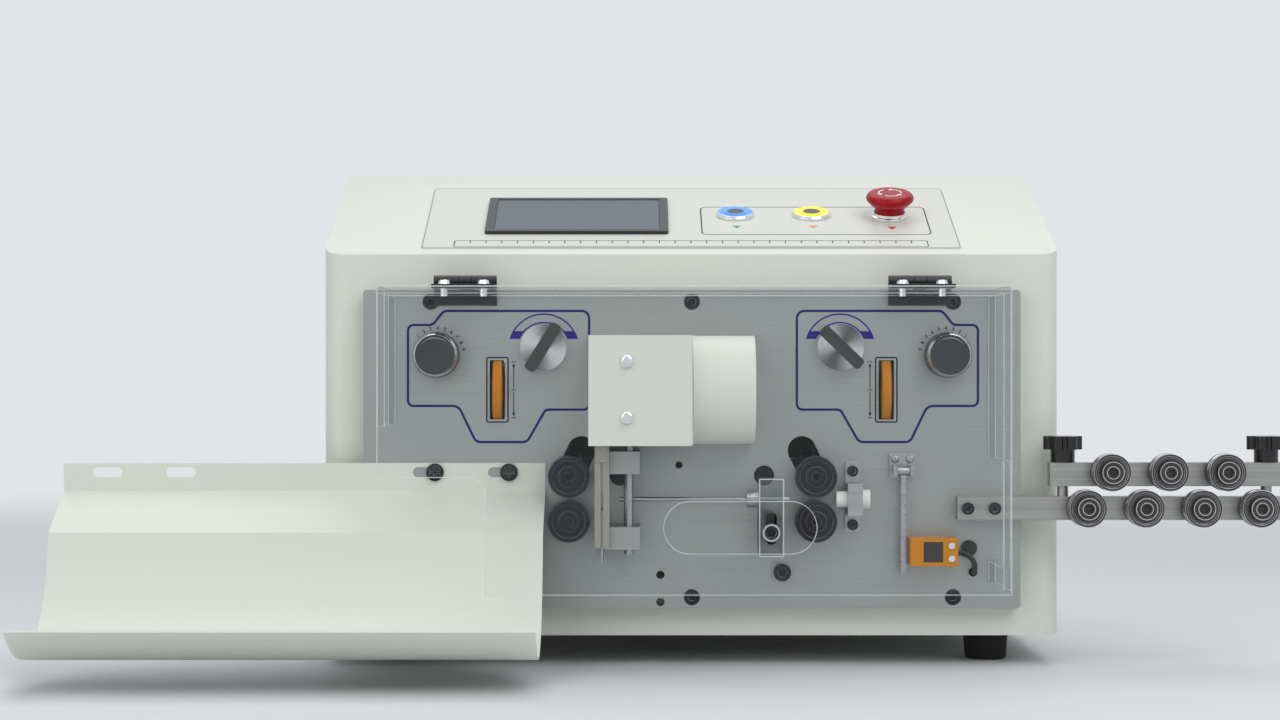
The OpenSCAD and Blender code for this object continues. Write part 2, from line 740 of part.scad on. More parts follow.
function bezier(p, t) = let (u = 1 - t)
    u * u * u * p[0] + 3 * u * u * t * p[1] + 3 * u * t * t * p[2] + t * t * t * p[3];
function normal_at(path, i) = let (d = path[min(i + 1, len(path) - 1)] - path[max(i - 1, 0)])
    unit([-d[1], d[0]]);

// Folded sheet whose underside follows the tray's path
module delivery_tray() {
    path = concat(tray_fold, [for (i = [1:14]) bezier(tray_bend, i / 14)]);
    outer = [for (i = [len(path) - 1:-1:0]) path[i] - normal_at(path, i) * tray_t];
    color("ivory") difference() {
        side_slab(tray_x, -tray_end) polygon(concat(path, outer));
        for (x = tray_slot_x) at(x, tray_slot_z) slab(plate_y - 20, plate_y + eps) round_rect(16, 5.4, 2.6);
    }
}

module hinge_barrels(first, r) for (x = hinge_x, i = [first:2:4])
    translate([x - hinge_w / 2 + i * hinge_w / 5 + 0.1, hinge_axis[0], hinge_axis[1]])
        rod_x(r, 0, hinge_w / 5 - 0.2);

// Spans of one hinge's knuckles along X, every second one from the first
function knuckles(x, first) = [for (i = [first:2:4]) [x - hinge_w / 2 + i * hinge_w / 5 + 0.1,
    x - hinge_w / 2 + (i + 1) * hinge_w / 5 - 0.1]];

// Leaves on the plate's face, with the pins
module hinge_leaves() color([0.1, 0.1, 0.1]) {
    leaf_y = [plate_y - leaf_t, plate_y];
    difference() {
        union() {
            hinge_barrels(0, barrel_r);
            for (x = hinge_x, span = knuckles(x, 0))
                block(span, leaf_y, [plate_top - eps, hinge_axis[1] - pin_r]);
        }
        for (x = hinge_x) translate([x, hinge_axis[0], hinge_axis[1]]) rod_x(pin_r, -hinge_w, hinge_w);
    }
    for (x = hinge_x) {
        block([x - hinge_w / 2, x + hinge_w / 2], leaf_y, [plate_top - leaf_drop, plate_top]);
        translate([x, hinge_axis[0], hinge_axis[1]]) rod_x(pin_r, -hinge_w / 2, hinge_w / 2);
    }
}

module cover_leaves() color([0.1, 0.1, 0.1]) difference() {
    leaf_z = [cover_top_z, cover_top_z + leaf_t];
    union() {
        hinge_barrels(1, barrel_r);
        for (x = hinge_x) {
            for (span = knuckles(x, 1)) block(span, [hinge_axis[0] - 6, hinge_axis[0] - 1], leaf_z);
            block([x - hinge_w / 2, x + hinge_w / 2], [hinge_axis[0] - 22, hinge_axis[0] - 5], leaf_z);
        }
    }
    for (x = hinge_x) translate([x, hinge_axis[0], hinge_axis[1]]) rod_x(pin_r + run, -hinge_w, hinge_w);
}

module cover_front() color("lightcyan", 0.35) difference() {
    span = [-cover_y - eps, -cover_y + acrylic + eps];
    notch = [notch_x + cover_w / 2 + 2 * notch_r, notch_z - cover_z + 2 * notch_r];
    block([-cover_w / 2, cover_w / 2], [-cover_y, -cover_y + acrylic], [cover_z, cover_top_z]);
    at(notch_x - notch[0] / 2, notch_z - notch[1] / 2) slab(span[0], span[1])
        round_rect(notch[0], notch[1], notch_r);
    at(slot_x, slot_z) slab(span[0], span[1]) round_rect(slot_len, slot_h, slot_h / 2 - 0.01);
}

module cover_top() color("lightcyan", 0.35) block([-cover_w / 2, cover_w / 2],
    [-cover_y + acrylic, hinge_axis[0] - 4], [cover_top_z - acrylic, cover_top_z]);

module cover_sides() color("lightcyan", 0.35) {
    front = -cover_y + acrylic;
    top = cover_top_z - acrylic;
    cut = [cover_back - front - side_strip + 2 * side_cut_r, side_cut[1] - side_cut[0]];
    block([-cover_w / 2, -cover_w / 2 + acrylic], [front, cover_back], [left_side_z, top]);
    difference() {
        block([cover_w / 2 - acrylic, cover_w / 2], [front, cover_back], [cover_z + 2, top]);
        side_slab(cover_w / 2 - acrylic - eps, cover_w / 2 + eps)
            translate([front + side_strip + cut[0] / 2, side_cut[0] + cut[1] / 2])
                round_rect(cut[0], cut[1], side_cut_r);
    }
}

// Power supply and control board on the floor of the case
module electronics() color("darkgray") {
    floor_z = case_z + sheet;
    back = case_d - supply_gap;
    block([-case_w / 2 + supply_gap, -case_w / 2 + supply_gap + supply[0]], [back - supply[1], back],
        [floor_z, floor_z + supply[2]]);
    mid = [case_w / 2 - supply_gap - board[0] / 2, back - supply_gap - board[1] / 2];
    translate([mid[0], mid[1], floor_z]) {
        translate([0, 0, post_h]) linear_extrude(board[2]) square([board[0], board[1]], center = true);
        for (x = [-1, 1], y = [-1, 1])
            translate([x * (board[0] / 2 - post_in), y * (board[1] / 2 - post_in), 0])
                rod_z(post_r, 0, post_h);
        for (i = [-1:1]) translate([i * driver_pitch, -board[1] / 4, post_h + board[2]])
            linear_extrude(driver_h) square(driver_w, center = true);
    }
}

// Face plate of the inlet, centred on its opening, with the rear cover's face at Y 0
module inlet_plate() difference() {
    union() {
        slab(0, inlet_t) round_rect(inlet_w, inlet_h, 3);
        slab(-28, eps) square([inlet_w - 6, inlet_h - 6], center = true);
    }
    translate([socket_dx, 0, 0]) slab(-14, inlet_t + eps) round_rect(24, 17, 2);
    translate([rocker_dx, 0, 0]) slab(-10, inlet_t + eps)
        square([rocker_w + 0.6, rocker_h + 0.6], center = true);
    translate([rocker_dx, -4, 0]) rod_x(1.5, -rocker_w / 2 - 2, rocker_w / 2 + 2);
}

module power_inlet() color([0.1, 0.1, 0.1])
    translate([inlet_at[0], case_d + rear_t, inlet_at[1]]) inlet_plate();

module power_rocker() color([0.15, 0.15, 0.15])
    translate([inlet_at[0] + rocker_dx, case_d + rear_t - 4, inlet_at[1]]) {
        side_slab(-rocker_w / 2, rocker_w / 2) polygon([[-3, -6], [4.5, 1 - rocker_h / 2],
            [6.4, 1.4 - rocker_h / 2], [3.6, 0], [4.4, rocker_h / 2 - 1.6], [2.6, rocker_h / 2 - 1], [-3, 6]]);
        rod_x(1.45, -rocker_w / 2 - 1.6, rocker_w / 2 + 1.6);
    }

// Torsion springs round the arms' pivots, which press the upper rollers down
module arm_springs() color("lightgray") for (side = [LEFT, RIGHT]) on_side(side)
    at(pivot_x, upper_z) translate([0, arm_y + arm_t + free, 0]) rotate([-90, 0, 0])
        for (i = [0:3]) translate([0, 0, 1 + 2.05 * i])
            rotate_extrude() translate([8.5, 0]) circle(1.02, $fn = 16);

module bearing_blocks() color("gray") for (side = [LEFT, RIGHT]) on_side(side) {
    at(roller_x, lower_z) difference() {
        rod_y(bearing_r - 0.02, -bearing_w, 0);
        rod_y(shaft_r + run, -bearing_w - eps, eps);
    }
    for (x = [-wheel_w / 2 - 1 - wheel_ear_t, wheel_w / 2 + 1]) difference() {
        block([wheel_x + x, wheel_x + x + wheel_ear_t], [0, wheel_y + 7], [wheel_z - 7, wheel_z + 7]);
        translate([wheel_x, wheel_y, wheel_z]) rod_x(axle_r + run, x - eps, x + wheel_ear_t + eps);
    }
}

module pressure_knob(side) color("silver") on_side(side) at(knob_x, knob_z) {
    r = knob_d / 2;
    difference() {
        translate([0, plate_y - free, 0]) rotate([90, 0, 0]) rotate_extrude()
            polygon([[0, 0], [r - 1, 0], [r, 1], [r, knob_len - 2.5], [r - 1.2, knob_len], [0, knob_len]]);
        translate([0, plate_y - free - knob_len - eps, 0]) rotate([-90, 0, 0])
            cylinder(r = r - 3, h = eps + 0.6);
    }
    rod_y(knob_shaft_r, plate_y - 1, 8);
    rod_y(knob_shaft_r + 5, free, 6);
}

module pressure_knob_left() pressure_knob(LEFT);
module pressure_knob_right() pressure_knob(RIGHT);

// Disc and grip in front of the plate, eccentric cam behind it
module lift_lever(side, lean) color("silver") on_side(side) at(lever_x, lever_z) {
    rod_y(lever_d / 2, plate_y - free - 6, plate_y - free);
    rotate([0, -lean, 0]) slab(plate_y - free - 15, plate_y - free - 5.5) round_rect(6.5, 29, 2);
    rod_y(shaft_r, plate_y - 1, arm_y + arm_t);
    at(cam_throw * cos(cam_rest), -cam_throw * sin(cam_rest)) rod_y(cam_r, arm_y, arm_y + arm_t);
}

module lift_lever_left() lift_lever(LEFT, 32);
module lift_lever_right() lift_lever(RIGHT, 46);

module thumbwheel(side) color("orange") on_side(side) translate([wheel_x, wheel_y, wheel_z]) {
    half = wheel_w / 2;
    rotate([0, 90, 0]) rotate_extrude() polygon([[0, -half], [wheel_r - 0.8, -half], [wheel_r, 0.8 - half],
        [wheel_r, half - 0.8], [wheel_r - 0.8, half], [0, half]]);
    rod_x(axle_r, -half - wheel_ear_t - 2, half + wheel_ear_t + 2);
}

module thumbwheel_left() thumbwheel(LEFT);
module thumbwheel_right() thumbwheel(RIGHT);

// Swing arm with its pivot pin, shaft boss and the finger that the cam pushes
module roller_arm(side) color("gray") on_side(side) difference() {
    union() {
        at(pivot_x, upper_z) {
            rod_y(pivot_r, plate_y + 0.5, arm_y + eps);
            rod_y(11, arm_y, arm_y + arm_t);
        }
        at(roller_x, upper_z) rod_y(arm_boss_r, plate_y + 1, arm_y + arm_t);
        block([pivot_x, finger_x], [arm_y, arm_y + arm_t], [upper_z - 9, upper_z + 9]);
        block([finger_x - finger_w, finger_x], [arm_y, arm_y + arm_t], [upper_z, finger_top]);
    }
    at(roller_x, upper_z) rod_y(shaft_r + run, plate_y - eps, arm_y + arm_t + eps);
}

module roller_arm_left() roller_arm(LEFT);
module roller_arm_right() roller_arm(RIGHT);

function polar(r, a) = [r * cos(a), r * sin(a)];

// Spur pinion: straight flanked teeth on a root circle
module pinion(turn) {
    tip = roller_mid + pinion_depth * 0.42;
    root = roller_mid - pinion_depth * 0.55;
    foot_a = 360 / teeth / 4 * 1.3;
    tip_a = 360 / teeth / 4 * 0.45;
    slab(pinion_y[0], pinion_y[1]) union() {
        circle(root);
        for (i = [0:teeth - 1]) rotate(turn + i * 360 / teeth)
            polygon([polar(root * 0.9, -foot_a), polar(root, -foot_a), polar(tip, -tip_a),
                polar(tip, tip_a), polar(root, foot_a), polar(root * 0.9, foot_a)]);
    }
}

// Feed roller clamped on its shaft, which carries a pinion behind the plate
module feed_roller(z, y1, turn) color([0.2, 0.2, 0.2]) at(roller_x, z) {
    difference() {
        union() {
            rod_y(roller_d / 2, roller_y, roller_y + roller_w);
            rod_y(shaft_r + 2, roller_y + roller_w - eps, plate_y - free);
        }
        translate([0, roller_y - eps, 0]) rotate([-90, 0, 0]) difference() {
            cylinder(r = roller_d / 2 - 2.2, h = eps + 1.2);
            cylinder(r = shaft_r + 1.5, h = eps + 2);
        }
        translate([0, roller_y - eps, 0]) rotate([-90, 0, 0]) cylinder(r = 2.6, h = eps + 3, $fn = 6);
    }
    rod_y(shaft_r, plate_y - 2, y1);
    pinion(turn);
}

module upper_roller_left() on_side(LEFT) feed_roller(upper_z, pinion_y[1] + 4, -90);
module upper_roller_right() on_side(RIGHT) feed_roller(upper_z, pinion_y[1] + 4, -90);
module lower_roller_left() on_side(LEFT) feed_roller(lower_z, motor_y + 10, 90 + 180 / teeth);
module lower_roller_right() on_side(RIGHT) feed_roller(lower_z, motor_y + 10, 90 + 180 / teeth);

// Blade plate with its vee, on the nut block that rides the screw
module blade(dir) {
    edge = wire_z + dir * blade_gap;
    far = edge + dir * 28;
    nut = [min(edge + dir * 9, edge + dir * 21), max(edge + dir * 9, edge + dir * 21)];
    color("lightgray") difference() {
        union() {
            side_slab(blade_x - blade_t / 2, blade_x + blade_t / 2)
                polygon([[wire_y - 10, edge], [wire_y, edge + dir * 8], [wire_y + 10, edge],
                    [wire_y + 12, edge], [wire_y + 12, far], [wire_y - 20, far], [wire_y - 20, edge]]);
            block([blade_x + blade_t / 2, cutter_screw_x + 6], [guide_y[1] + 1, plate_y - 2], nut);
        }
        translate([cutter_screw_x, cutter_screw_y, 0]) rod_z(cutter_screw_r + run, 0, cutter_z[1]);
    }
}

module upper_blade() blade(1);
module lower_blade() blade(-1);

module blade_screw() color("lightgray") translate([cutter_screw_x, cutter_screw_y, 0])
    rod_z(cutter_screw_r, wire_z - blade_gap - 24, gearbox_z[0] + 8);

module place() translate([-mid_x, -mid_y, 0]) children();

place() case_shell();
place() base_plate();
place() rear_cover();
place() rubber_feet();
place() front_plate();
place() fasteners();
place() console_panel();
place() display();
place() console_bezels();
place() cutter_cover();
place() blade_guides();
place() stepper_motors();
place() wire_tube();
place() wire_guides();
place() inlet_bush();
place() lever_bracket();
place() sensor();
place() sensor_cable();
place() straightener_base();
place() delivery_tray();
place() hinge_leaves();
place() electronics();
place() power_inlet();
place() arm_springs();
place() bearing_blocks();
place() cover_front();
place() cover_top();
place() cover_sides();
place() cover_leaves();
place() start_button();
place() pause_button();
place() stop_plunger();
place() stop_head();
place() pressure_knob_left();
place() pressure_knob_right();
place() lift_lever_left();
place() lift_lever_right();
place() thumbwheel_left();
place() thumbwheel_right();
place() roller_arm_left();
place() roller_arm_right();
place() upper_roller_left();
place() upper_roller_right();
place() lower_roller_left();
place() lower_roller_right();
place() groove_roller_1();
place() groove_roller_2();
place() groove_roller_3();
place() groove_roller_4();
place() groove_roller_5();
place() groove_roller_6();
place() groove_roller_7();
place() straightener_slide();
place() star_knob_left();
place() star_knob_right();
place() upper_blade();
place() lower_blade();
place() blade_screw();
place() swing_lever();
place() power_rocker();
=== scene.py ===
import json
import math

import bmesh
import bpy
from mathutils import Matrix, Vector

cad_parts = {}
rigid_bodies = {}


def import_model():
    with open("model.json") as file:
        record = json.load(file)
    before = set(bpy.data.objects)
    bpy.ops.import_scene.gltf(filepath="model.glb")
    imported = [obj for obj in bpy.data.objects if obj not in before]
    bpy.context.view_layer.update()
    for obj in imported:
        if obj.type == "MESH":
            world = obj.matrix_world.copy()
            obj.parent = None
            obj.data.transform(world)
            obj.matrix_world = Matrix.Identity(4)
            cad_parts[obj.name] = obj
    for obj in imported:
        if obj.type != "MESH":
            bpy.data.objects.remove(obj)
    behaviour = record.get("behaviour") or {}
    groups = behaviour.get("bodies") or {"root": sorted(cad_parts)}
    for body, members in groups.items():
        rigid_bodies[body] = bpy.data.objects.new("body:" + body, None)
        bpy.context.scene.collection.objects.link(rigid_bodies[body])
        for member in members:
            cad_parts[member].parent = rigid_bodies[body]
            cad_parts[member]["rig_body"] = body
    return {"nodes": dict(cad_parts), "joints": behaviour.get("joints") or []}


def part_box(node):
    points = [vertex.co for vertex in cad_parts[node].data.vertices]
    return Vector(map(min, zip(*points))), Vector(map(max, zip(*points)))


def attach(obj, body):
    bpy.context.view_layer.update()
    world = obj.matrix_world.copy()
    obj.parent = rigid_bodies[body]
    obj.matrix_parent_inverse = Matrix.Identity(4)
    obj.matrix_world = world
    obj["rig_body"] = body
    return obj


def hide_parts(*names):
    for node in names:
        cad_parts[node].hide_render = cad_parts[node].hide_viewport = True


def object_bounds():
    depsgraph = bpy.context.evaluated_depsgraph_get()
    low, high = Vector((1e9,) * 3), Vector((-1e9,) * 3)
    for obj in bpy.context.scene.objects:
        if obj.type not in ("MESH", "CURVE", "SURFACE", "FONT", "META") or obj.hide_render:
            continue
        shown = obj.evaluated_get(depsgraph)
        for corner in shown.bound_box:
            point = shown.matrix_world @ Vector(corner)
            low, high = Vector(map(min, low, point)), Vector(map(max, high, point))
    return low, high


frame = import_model()
cadLow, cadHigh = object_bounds()
nodes = frame["nodes"]
joints = {joint["name"]: joint for joint in frame["joints"]}
hands = ("left", "right")
levels = ("upper", "lower")
grooveRollers = range(1, 8)
mm = 0.001
print("frame loaded with", len(nodes), "nodes")

# everything below is placed from the front plate: X from its middle, Y from its back face
plateLow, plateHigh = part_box("front_plate")
middleX = (plateLow.x + plateHigh.x) / 2


def spot(x, y, z):
    return Vector((middleX + x * mm, plateHigh.y + y * mm, z * mm))


def bodyOf(node):
    return nodes[node]["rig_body"]


def axisOf(joint):
    return Vector(joints[joint]["pos_m"])


# camera, level and square to the plate, as the photograph was taken
view = {"at": (-28, -1550, 165.6), "lens": 80.2, "sensor": 36.0, "near": 0.05, "far": 60.0}
camera = bpy.data.objects.new("camera", bpy.data.cameras.new("camera"))
bpy.context.collection.objects.link(camera)
camera.location = spot(*view["at"])
camera.rotation_euler = (math.radians(90), 0, 0)
camera.data.lens = view["lens"]
camera.data.sensor_width = view["sensor"]
camera.data.clip_start = view["near"]
camera.data.clip_end = view["far"]
bpy.context.scene.camera = camera
print("camera placed")


def linear(rgb):
    parts = [c / 255 for c in rgb]
    return [c / 12.92 if c < 0.04045 else ((c + 0.055) / 1.055) ** 2.4 for c in parts]


def finish(name, rgb, rough, metal=0.0, **sockets):
    made = bpy.data.materials.new(name)
    made.use_nodes = True
    shader = made.node_tree.nodes["Principled BSDF"]
    shader.inputs["Base Color"].default_value = (*linear(rgb), 1)
    shader.inputs["Roughness"].default_value = rough
    shader.inputs["Metallic"].default_value = metal
    for socket, value in sockets.items():
        shader.inputs[socket.replace("_", " ")].default_value = value
    made.diffuse_color = (*linear(rgb), 1)
    return made


def treeNode(tree, kind, **values):
    node = tree.nodes.new(kind)
    for name, value in values.items():
        setattr(node, name, value)
    return node


grainDetail = {"bump": 2.0, "streaks": 4.0}
streakRamp = (0.3, 0.7)  # where the noise turns from dark to light


def grainNode(tree, scale, stretch, detail):
    place = treeNode(tree, "ShaderNodeTexCoord")
    turn = treeNode(tree, "ShaderNodeMapping")
    turn.inputs["Scale"].default_value = stretch
    grain = treeNode(tree, "ShaderNodeTexNoise")
    grain.inputs["Scale"].default_value = scale
    grain.inputs["Detail"].default_value = detail
    tree.links.new(place.outputs["Object"], turn.inputs["Vector"])
    tree.links.new(turn.outputs["Vector"], grain.inputs["Vector"])
    return grain


# ramp from a dark to a light tone into the base colour
def toneNode(tree, darkRgb, lightRgb):
    tone = treeNode(tree, "ShaderNodeValToRGB")
    for stop, rgb in zip(tone.color_ramp.elements, (darkRgb, lightRgb)):
        stop.color = (*linear(rgb), 1)
    tree.links.new(tone.outputs["Color"], tree.nodes["Principled BSDF"].inputs["Base Color"])
    return tone


# fine height grain, as on powder coat and moulded plastic
def addGrain(made, scale, depth, strength):
    tree = made.node_tree
    grain = grainNode(tree, scale, (1, 1, 1), grainDetail["bump"])
    bump = treeNode(tree, "ShaderNodeBump")
    bump.inputs["Strength"].default_value = strength
    bump.inputs["Distance"].default_value = depth
    tree.links.new(grain.outputs["Fac"], bump.inputs["Height"])
    tree.links.new(bump.outputs["Normal"], tree.nodes["Principled BSDF"].inputs["Normal"])
    return made


# tone and gloss that vary along the grain
def addStreaks(made, stretch, darkRgb, lightRgb, roughRange):
    tree = made.node_tree
    grain = grainNode(tree, 1.0, stretch, grainDetail["streaks"])
    tone = toneNode(tree, darkRgb, lightRgb)
    for stop, position in zip(tone.color_ramp.elements, streakRamp):
        stop.position = position
    gloss = treeNode(tree, "ShaderNodeMapRange")
    gloss.inputs["To Min"].default_value = roughRange[0]
    gloss.inputs["To Max"].default_value = roughRange[1]
    tree.links.new(grain.outputs["Fac"], tone.inputs["Fac"])
    tree.links.new(grain.outputs["Fac"], gloss.inputs["Value"])
    tree.links.new(gloss.outputs["Result"], tree.nodes["Principled BSDF"].inputs["Roughness"])
    return made


# painted reflection: two light and two dark sectors round the lathe's axis, standing for the sheen of faced
# metal
def addSheenSectors(made, axis, darkRgb, lightRgb, turnDeg):
    tree = made.node_tree
    place = treeNode(tree, "ShaderNodeTexCoord")
    offset = treeNode(tree, "ShaderNodeVectorMath", operation="SUBTRACT")
    offset.inputs[1].default_value = axis
    parts = treeNode(tree, "ShaderNodeSeparateXYZ")
    angle = treeNode(tree, "ShaderNodeMath", operation="ARCTAN2")
    double = treeNode(tree, "ShaderNodeMath", operation="MULTIPLY_ADD")
    double.inputs[1].default_value = 2
    double.inputs[2].default_value = math.radians(turnDeg)
    wave = treeNode(tree, "ShaderNodeMath", operation="SINE")
    reach = treeNode(tree, "ShaderNodeMapRange")
    reach.inputs["From Min"].default_value = -1
    tone = toneNode(tree, darkRgb, lightRgb)
    tree.links.new(place.outputs["Object"], offset.inputs[0])
    tree.links.new(offset.outputs["Vector"], parts.inputs["Vector"])
    tree.links.new(parts.outputs["Z"], angle.inputs[0])
    tree.links.new(parts.outputs["X"], angle.inputs[1])
    tree.links.new(angle.outputs["Value"], double.inputs[0])
    tree.links.new(double.outputs["Value"], wave.inputs[0])
    tree.links.new(wave.outputs["Value"], reach.inputs["Value"])
    tree.links.new(reach.outputs["Result"], tone.inputs["Fac"])
    return made


whiteCoat = addGrain(finish("whiteCoat", (227, 229, 220), 0.42), 900, 0.0002, 0.25)
plateMetal = finish("plateMetal", (160, 163, 166), 0.4, 0.85)
addStreaks(plateMetal, (14, 60, 2600), (154, 158, 156), (163, 167, 165), (0.38, 0.46))
barMetal = finish("barMetal", (166, 167, 169), 0.36, 1.0)
addStreaks(barMetal, (12, 60, 1500), (154, 155, 157), (178, 179, 181), (0.3, 0.44))
railMetal = finish("railMetal", (160, 160, 158), 0.36, 1.0)
addStreaks(railMetal, (12, 60, 1500), (150, 150, 148), (171, 171, 169), (0.3, 0.44))
guideMetal = finish("guideMetal", (156, 156, 145), 0.44, 0.6)
addStreaks(guideMetal, (1300, 60, 14), (146, 146, 134), (168, 168, 157), (0.38, 0.52))
satinEdgeHighlight = finish("satinEdgeHighlight", (200, 202, 205), 0.32, 1.0)
addStreaks(satinEdgeHighlight, (60, 60, 1500), (186, 188, 192), (212, 214, 217), (0.26, 0.4))
chromeMetal = finish("chromeMetal", (226, 227, 229), 0.1, 1.0)
turnedSteel = finish("turnedSteel", (168, 170, 174), 0.3, 1.0)
addStreaks(turnedSteel, (1400, 50, 1400), (140, 142, 147), (185, 187, 191), (0.22, 0.4))
darkSteel = finish("darkSteel", (76, 74, 74), 0.3, 1.0)
addStreaks(darkSteel, (1500, 50, 1500), (66, 64, 64), (86, 84, 84), (0.24, 0.38))
# bright steel for painted edge highlights, and for the washer ring on the holder's screw
brightSteelAndHighlight = finish("brightSteelAndHighlight", (186, 187, 189), 0.24, 1.0)
rollerEdgeHighlight = finish("rollerEdgeHighlight", (80, 81, 83), 0.34, 0.8)
springSteel = finish("springSteel", (150, 152, 156), 0.3, 1.0)
blackOxide = addGrain(finish("blackOxide", (44, 44, 47), 0.36, 0.8), 2500, 0.0001, 0.2)
motorBlack = addGrain(finish("motorBlack", (38, 39, 42), 0.5, 0.2), 1200, 0.0002, 0.3)
footRubber = addGrain(finish("footRubber", (28, 28, 29), 0.82), 1500, 0.0002, 0.3)
knobBlack = addGrain(finish("knobBlack", (20, 20, 22), 0.2), 1200, 0.0001, 0.1)
blackPlastic = addGrain(finish("blackPlastic", (27, 27, 29), 0.4), 1800, 0.0001, 0.25)
amberPlastic = finish("amberPlastic", (198, 126, 10), 0.36, Specular_IOR_Level=0.25)
addGrain(amberPlastic, 1500, 0.0001, 0.2)
sensorPlastic = finish("sensorPlastic", (206, 133, 10), 0.36, Specular_IOR_Level=0.25)
addGrain(sensorPlastic, 1500, 0.0001, 0.2)
stopRed = finish("stopRed", (164, 4, 24), 0.24, Specular_IOR_Level=0.22)
whiteNylon = addGrain(finish("whiteNylon", (238, 238, 234), 0.45), 900, 0.0001, 0.2)
panelFilm = addGrain(finish("panelFilm", (217, 219, 211), 0.38), 2200, 0.0001, 0.15)
screenFrame = addGrain(finish("screenFrame", (34, 36, 40), 0.4), 1800, 0.0001, 0.2)
screenGlass = finish("screenGlass", (92, 105, 112), 0.34, Specular_IOR_Level=0.2)
navyInk = finish("navyInk", (28, 26, 112), 0.5, Specular_IOR_Level=0.15)
blueInk = finish("blueInk", (46, 28, 138), 0.5, Specular_IOR_Level=0.15)
darkInk = finish("darkInk", (36, 38, 48), 0.5, Specular_IOR_Level=0.15)
greyInk = finish("greyInk", (120, 126, 136), 0.5)
greenInk = finish("greenInk", (58, 158, 84), 0.5)
amberInk = finish("amberInk", (236, 150, 44), 0.5)
redInk = finish("redInk", (206, 44, 44), 0.5)
whiteInk = finish("whiteInk", (236, 236, 236), 0.5)
lampGlow = {"blue": (0.06, 0.25, 0.9, 1), "amber": (0.9, 0.6, 0.03, 1), "level": 0.6}
blueLamp = finish("blueLamp", (70, 134, 236), 0.3,
                  Emission_Color=lampGlow["blue"], Emission_Strength=lampGlow["level"])
amberLamp = finish("amberLamp", (244, 204, 44), 0.3,
                   Emission_Color=lampGlow["amber"], Emission_Strength=lampGlow["level"])
buttonCap = finish("buttonCap", (92, 94, 98), 0.16, 1.0)
# black for printed labels, and for painted shade in slots, sockets and windows
labelAndShadeBlack = addGrain(finish("labelAndShadeBlack", (44, 38, 36), 0.42), 1800, 0.0001, 0.15)
gripGrey = addGrain(finish("gripGrey", (66, 66, 65), 0.4, 0.5), 1600, 0.0001, 0.2)
knobFace = addGrain(finish("knobFace", (58, 60, 62), 0.46, 0.4), 1600, 0.0001, 0.3)
circuitGreen = finish("circuitGreen", (28, 84, 54), 0.45)
clearSheet = finish("clearSheet", (168, 182, 186), 0.05, Alpha=0.02)
clearBlock = finish("clearBlock", (150, 162, 162), 0.08, Alpha=0.16)
clearEdge = finish("clearEdge", (150, 162, 162), 0.2, Alpha=0.22)
clearEdgeHighlight = finish("clearEdgeHighlight", (232, 239, 238), 0.25, Alpha=0.72)
print("finishes made:", len(bpy.data.materials))


# the modifiers' result as a plain mesh
def settle(piece):
    seen = piece.evaluated_get(bpy.context.evaluated_depsgraph_get())
    mesh = bpy.data.meshes.new_from_object(seen)
    piece.modifiers.clear()
    piece.data = mesh
    return piece


brokenEdge = {"merge": 0.002, "flatDeg": 0.4, "cornerDeg": 38, "smoothDeg": 32, "steps": 2}


# copy of a CAD node with its edges broken, which stands for the node
def softened(node, width, made):
    mesh = nodes[node].data.copy()
    work = bmesh.new()
    work.from_mesh(mesh)
    bmesh.ops.remove_doubles(work, verts=work.verts, dist=brokenEdge["merge"] * mm)
    flat = math.radians(brokenEdge["flatDeg"])
    bmesh.ops.dissolve_limit(work, angle_limit=flat, verts=work.verts, edges=work.edges)
    work.to_mesh(mesh)
    work.free()
    piece = bpy.data.objects.new(node + "_edged", mesh)
    bpy.context.collection.objects.link(piece)
    bevel = piece.modifiers.new("edges", "BEVEL")
    bevel.width = width * mm
    bevel.segments = brokenEdge["steps"]
    bevel.limit_method = "ANGLE"
    bevel.angle_limit = math.radians(brokenEdge["cornerDeg"])
    bevel.miter_outer = "MITER_ARC"
    settle(piece)
    piece.data.shade_smooth()
    piece.data.set_sharp_from_angle(angle=math.radians(brokenEdge["smoothDeg"]))
    even = piece.modifiers.new("flatFaces", "WEIGHTED_NORMAL")
    even.keep_sharp = True
    settle(piece)
    paint(piece, made)
    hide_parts(node)
    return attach(piece, bodyOf(node))


def paint(piece, *finishes):
    if piece.data.materials:
        piece.data.materials.clear()
    for made in finishes:
        piece.data.materials.append(made)


# one more finish, on the faces that a test picks by their middle and their normal
def paintFaces(piece, made, test):
    piece.data.materials.append(made)
    index = len(piece.data.materials) - 1
    for face in piece.data.polygons:
        if test(face.center, face.normal):
            face.material_index = index


def newPiece(name, mesh, body, *finishes):
    piece = bpy.data.objects.new(name, mesh)
    bpy.context.collection.objects.link(piece)
    paint(piece, *finishes)
    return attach(piece, body)


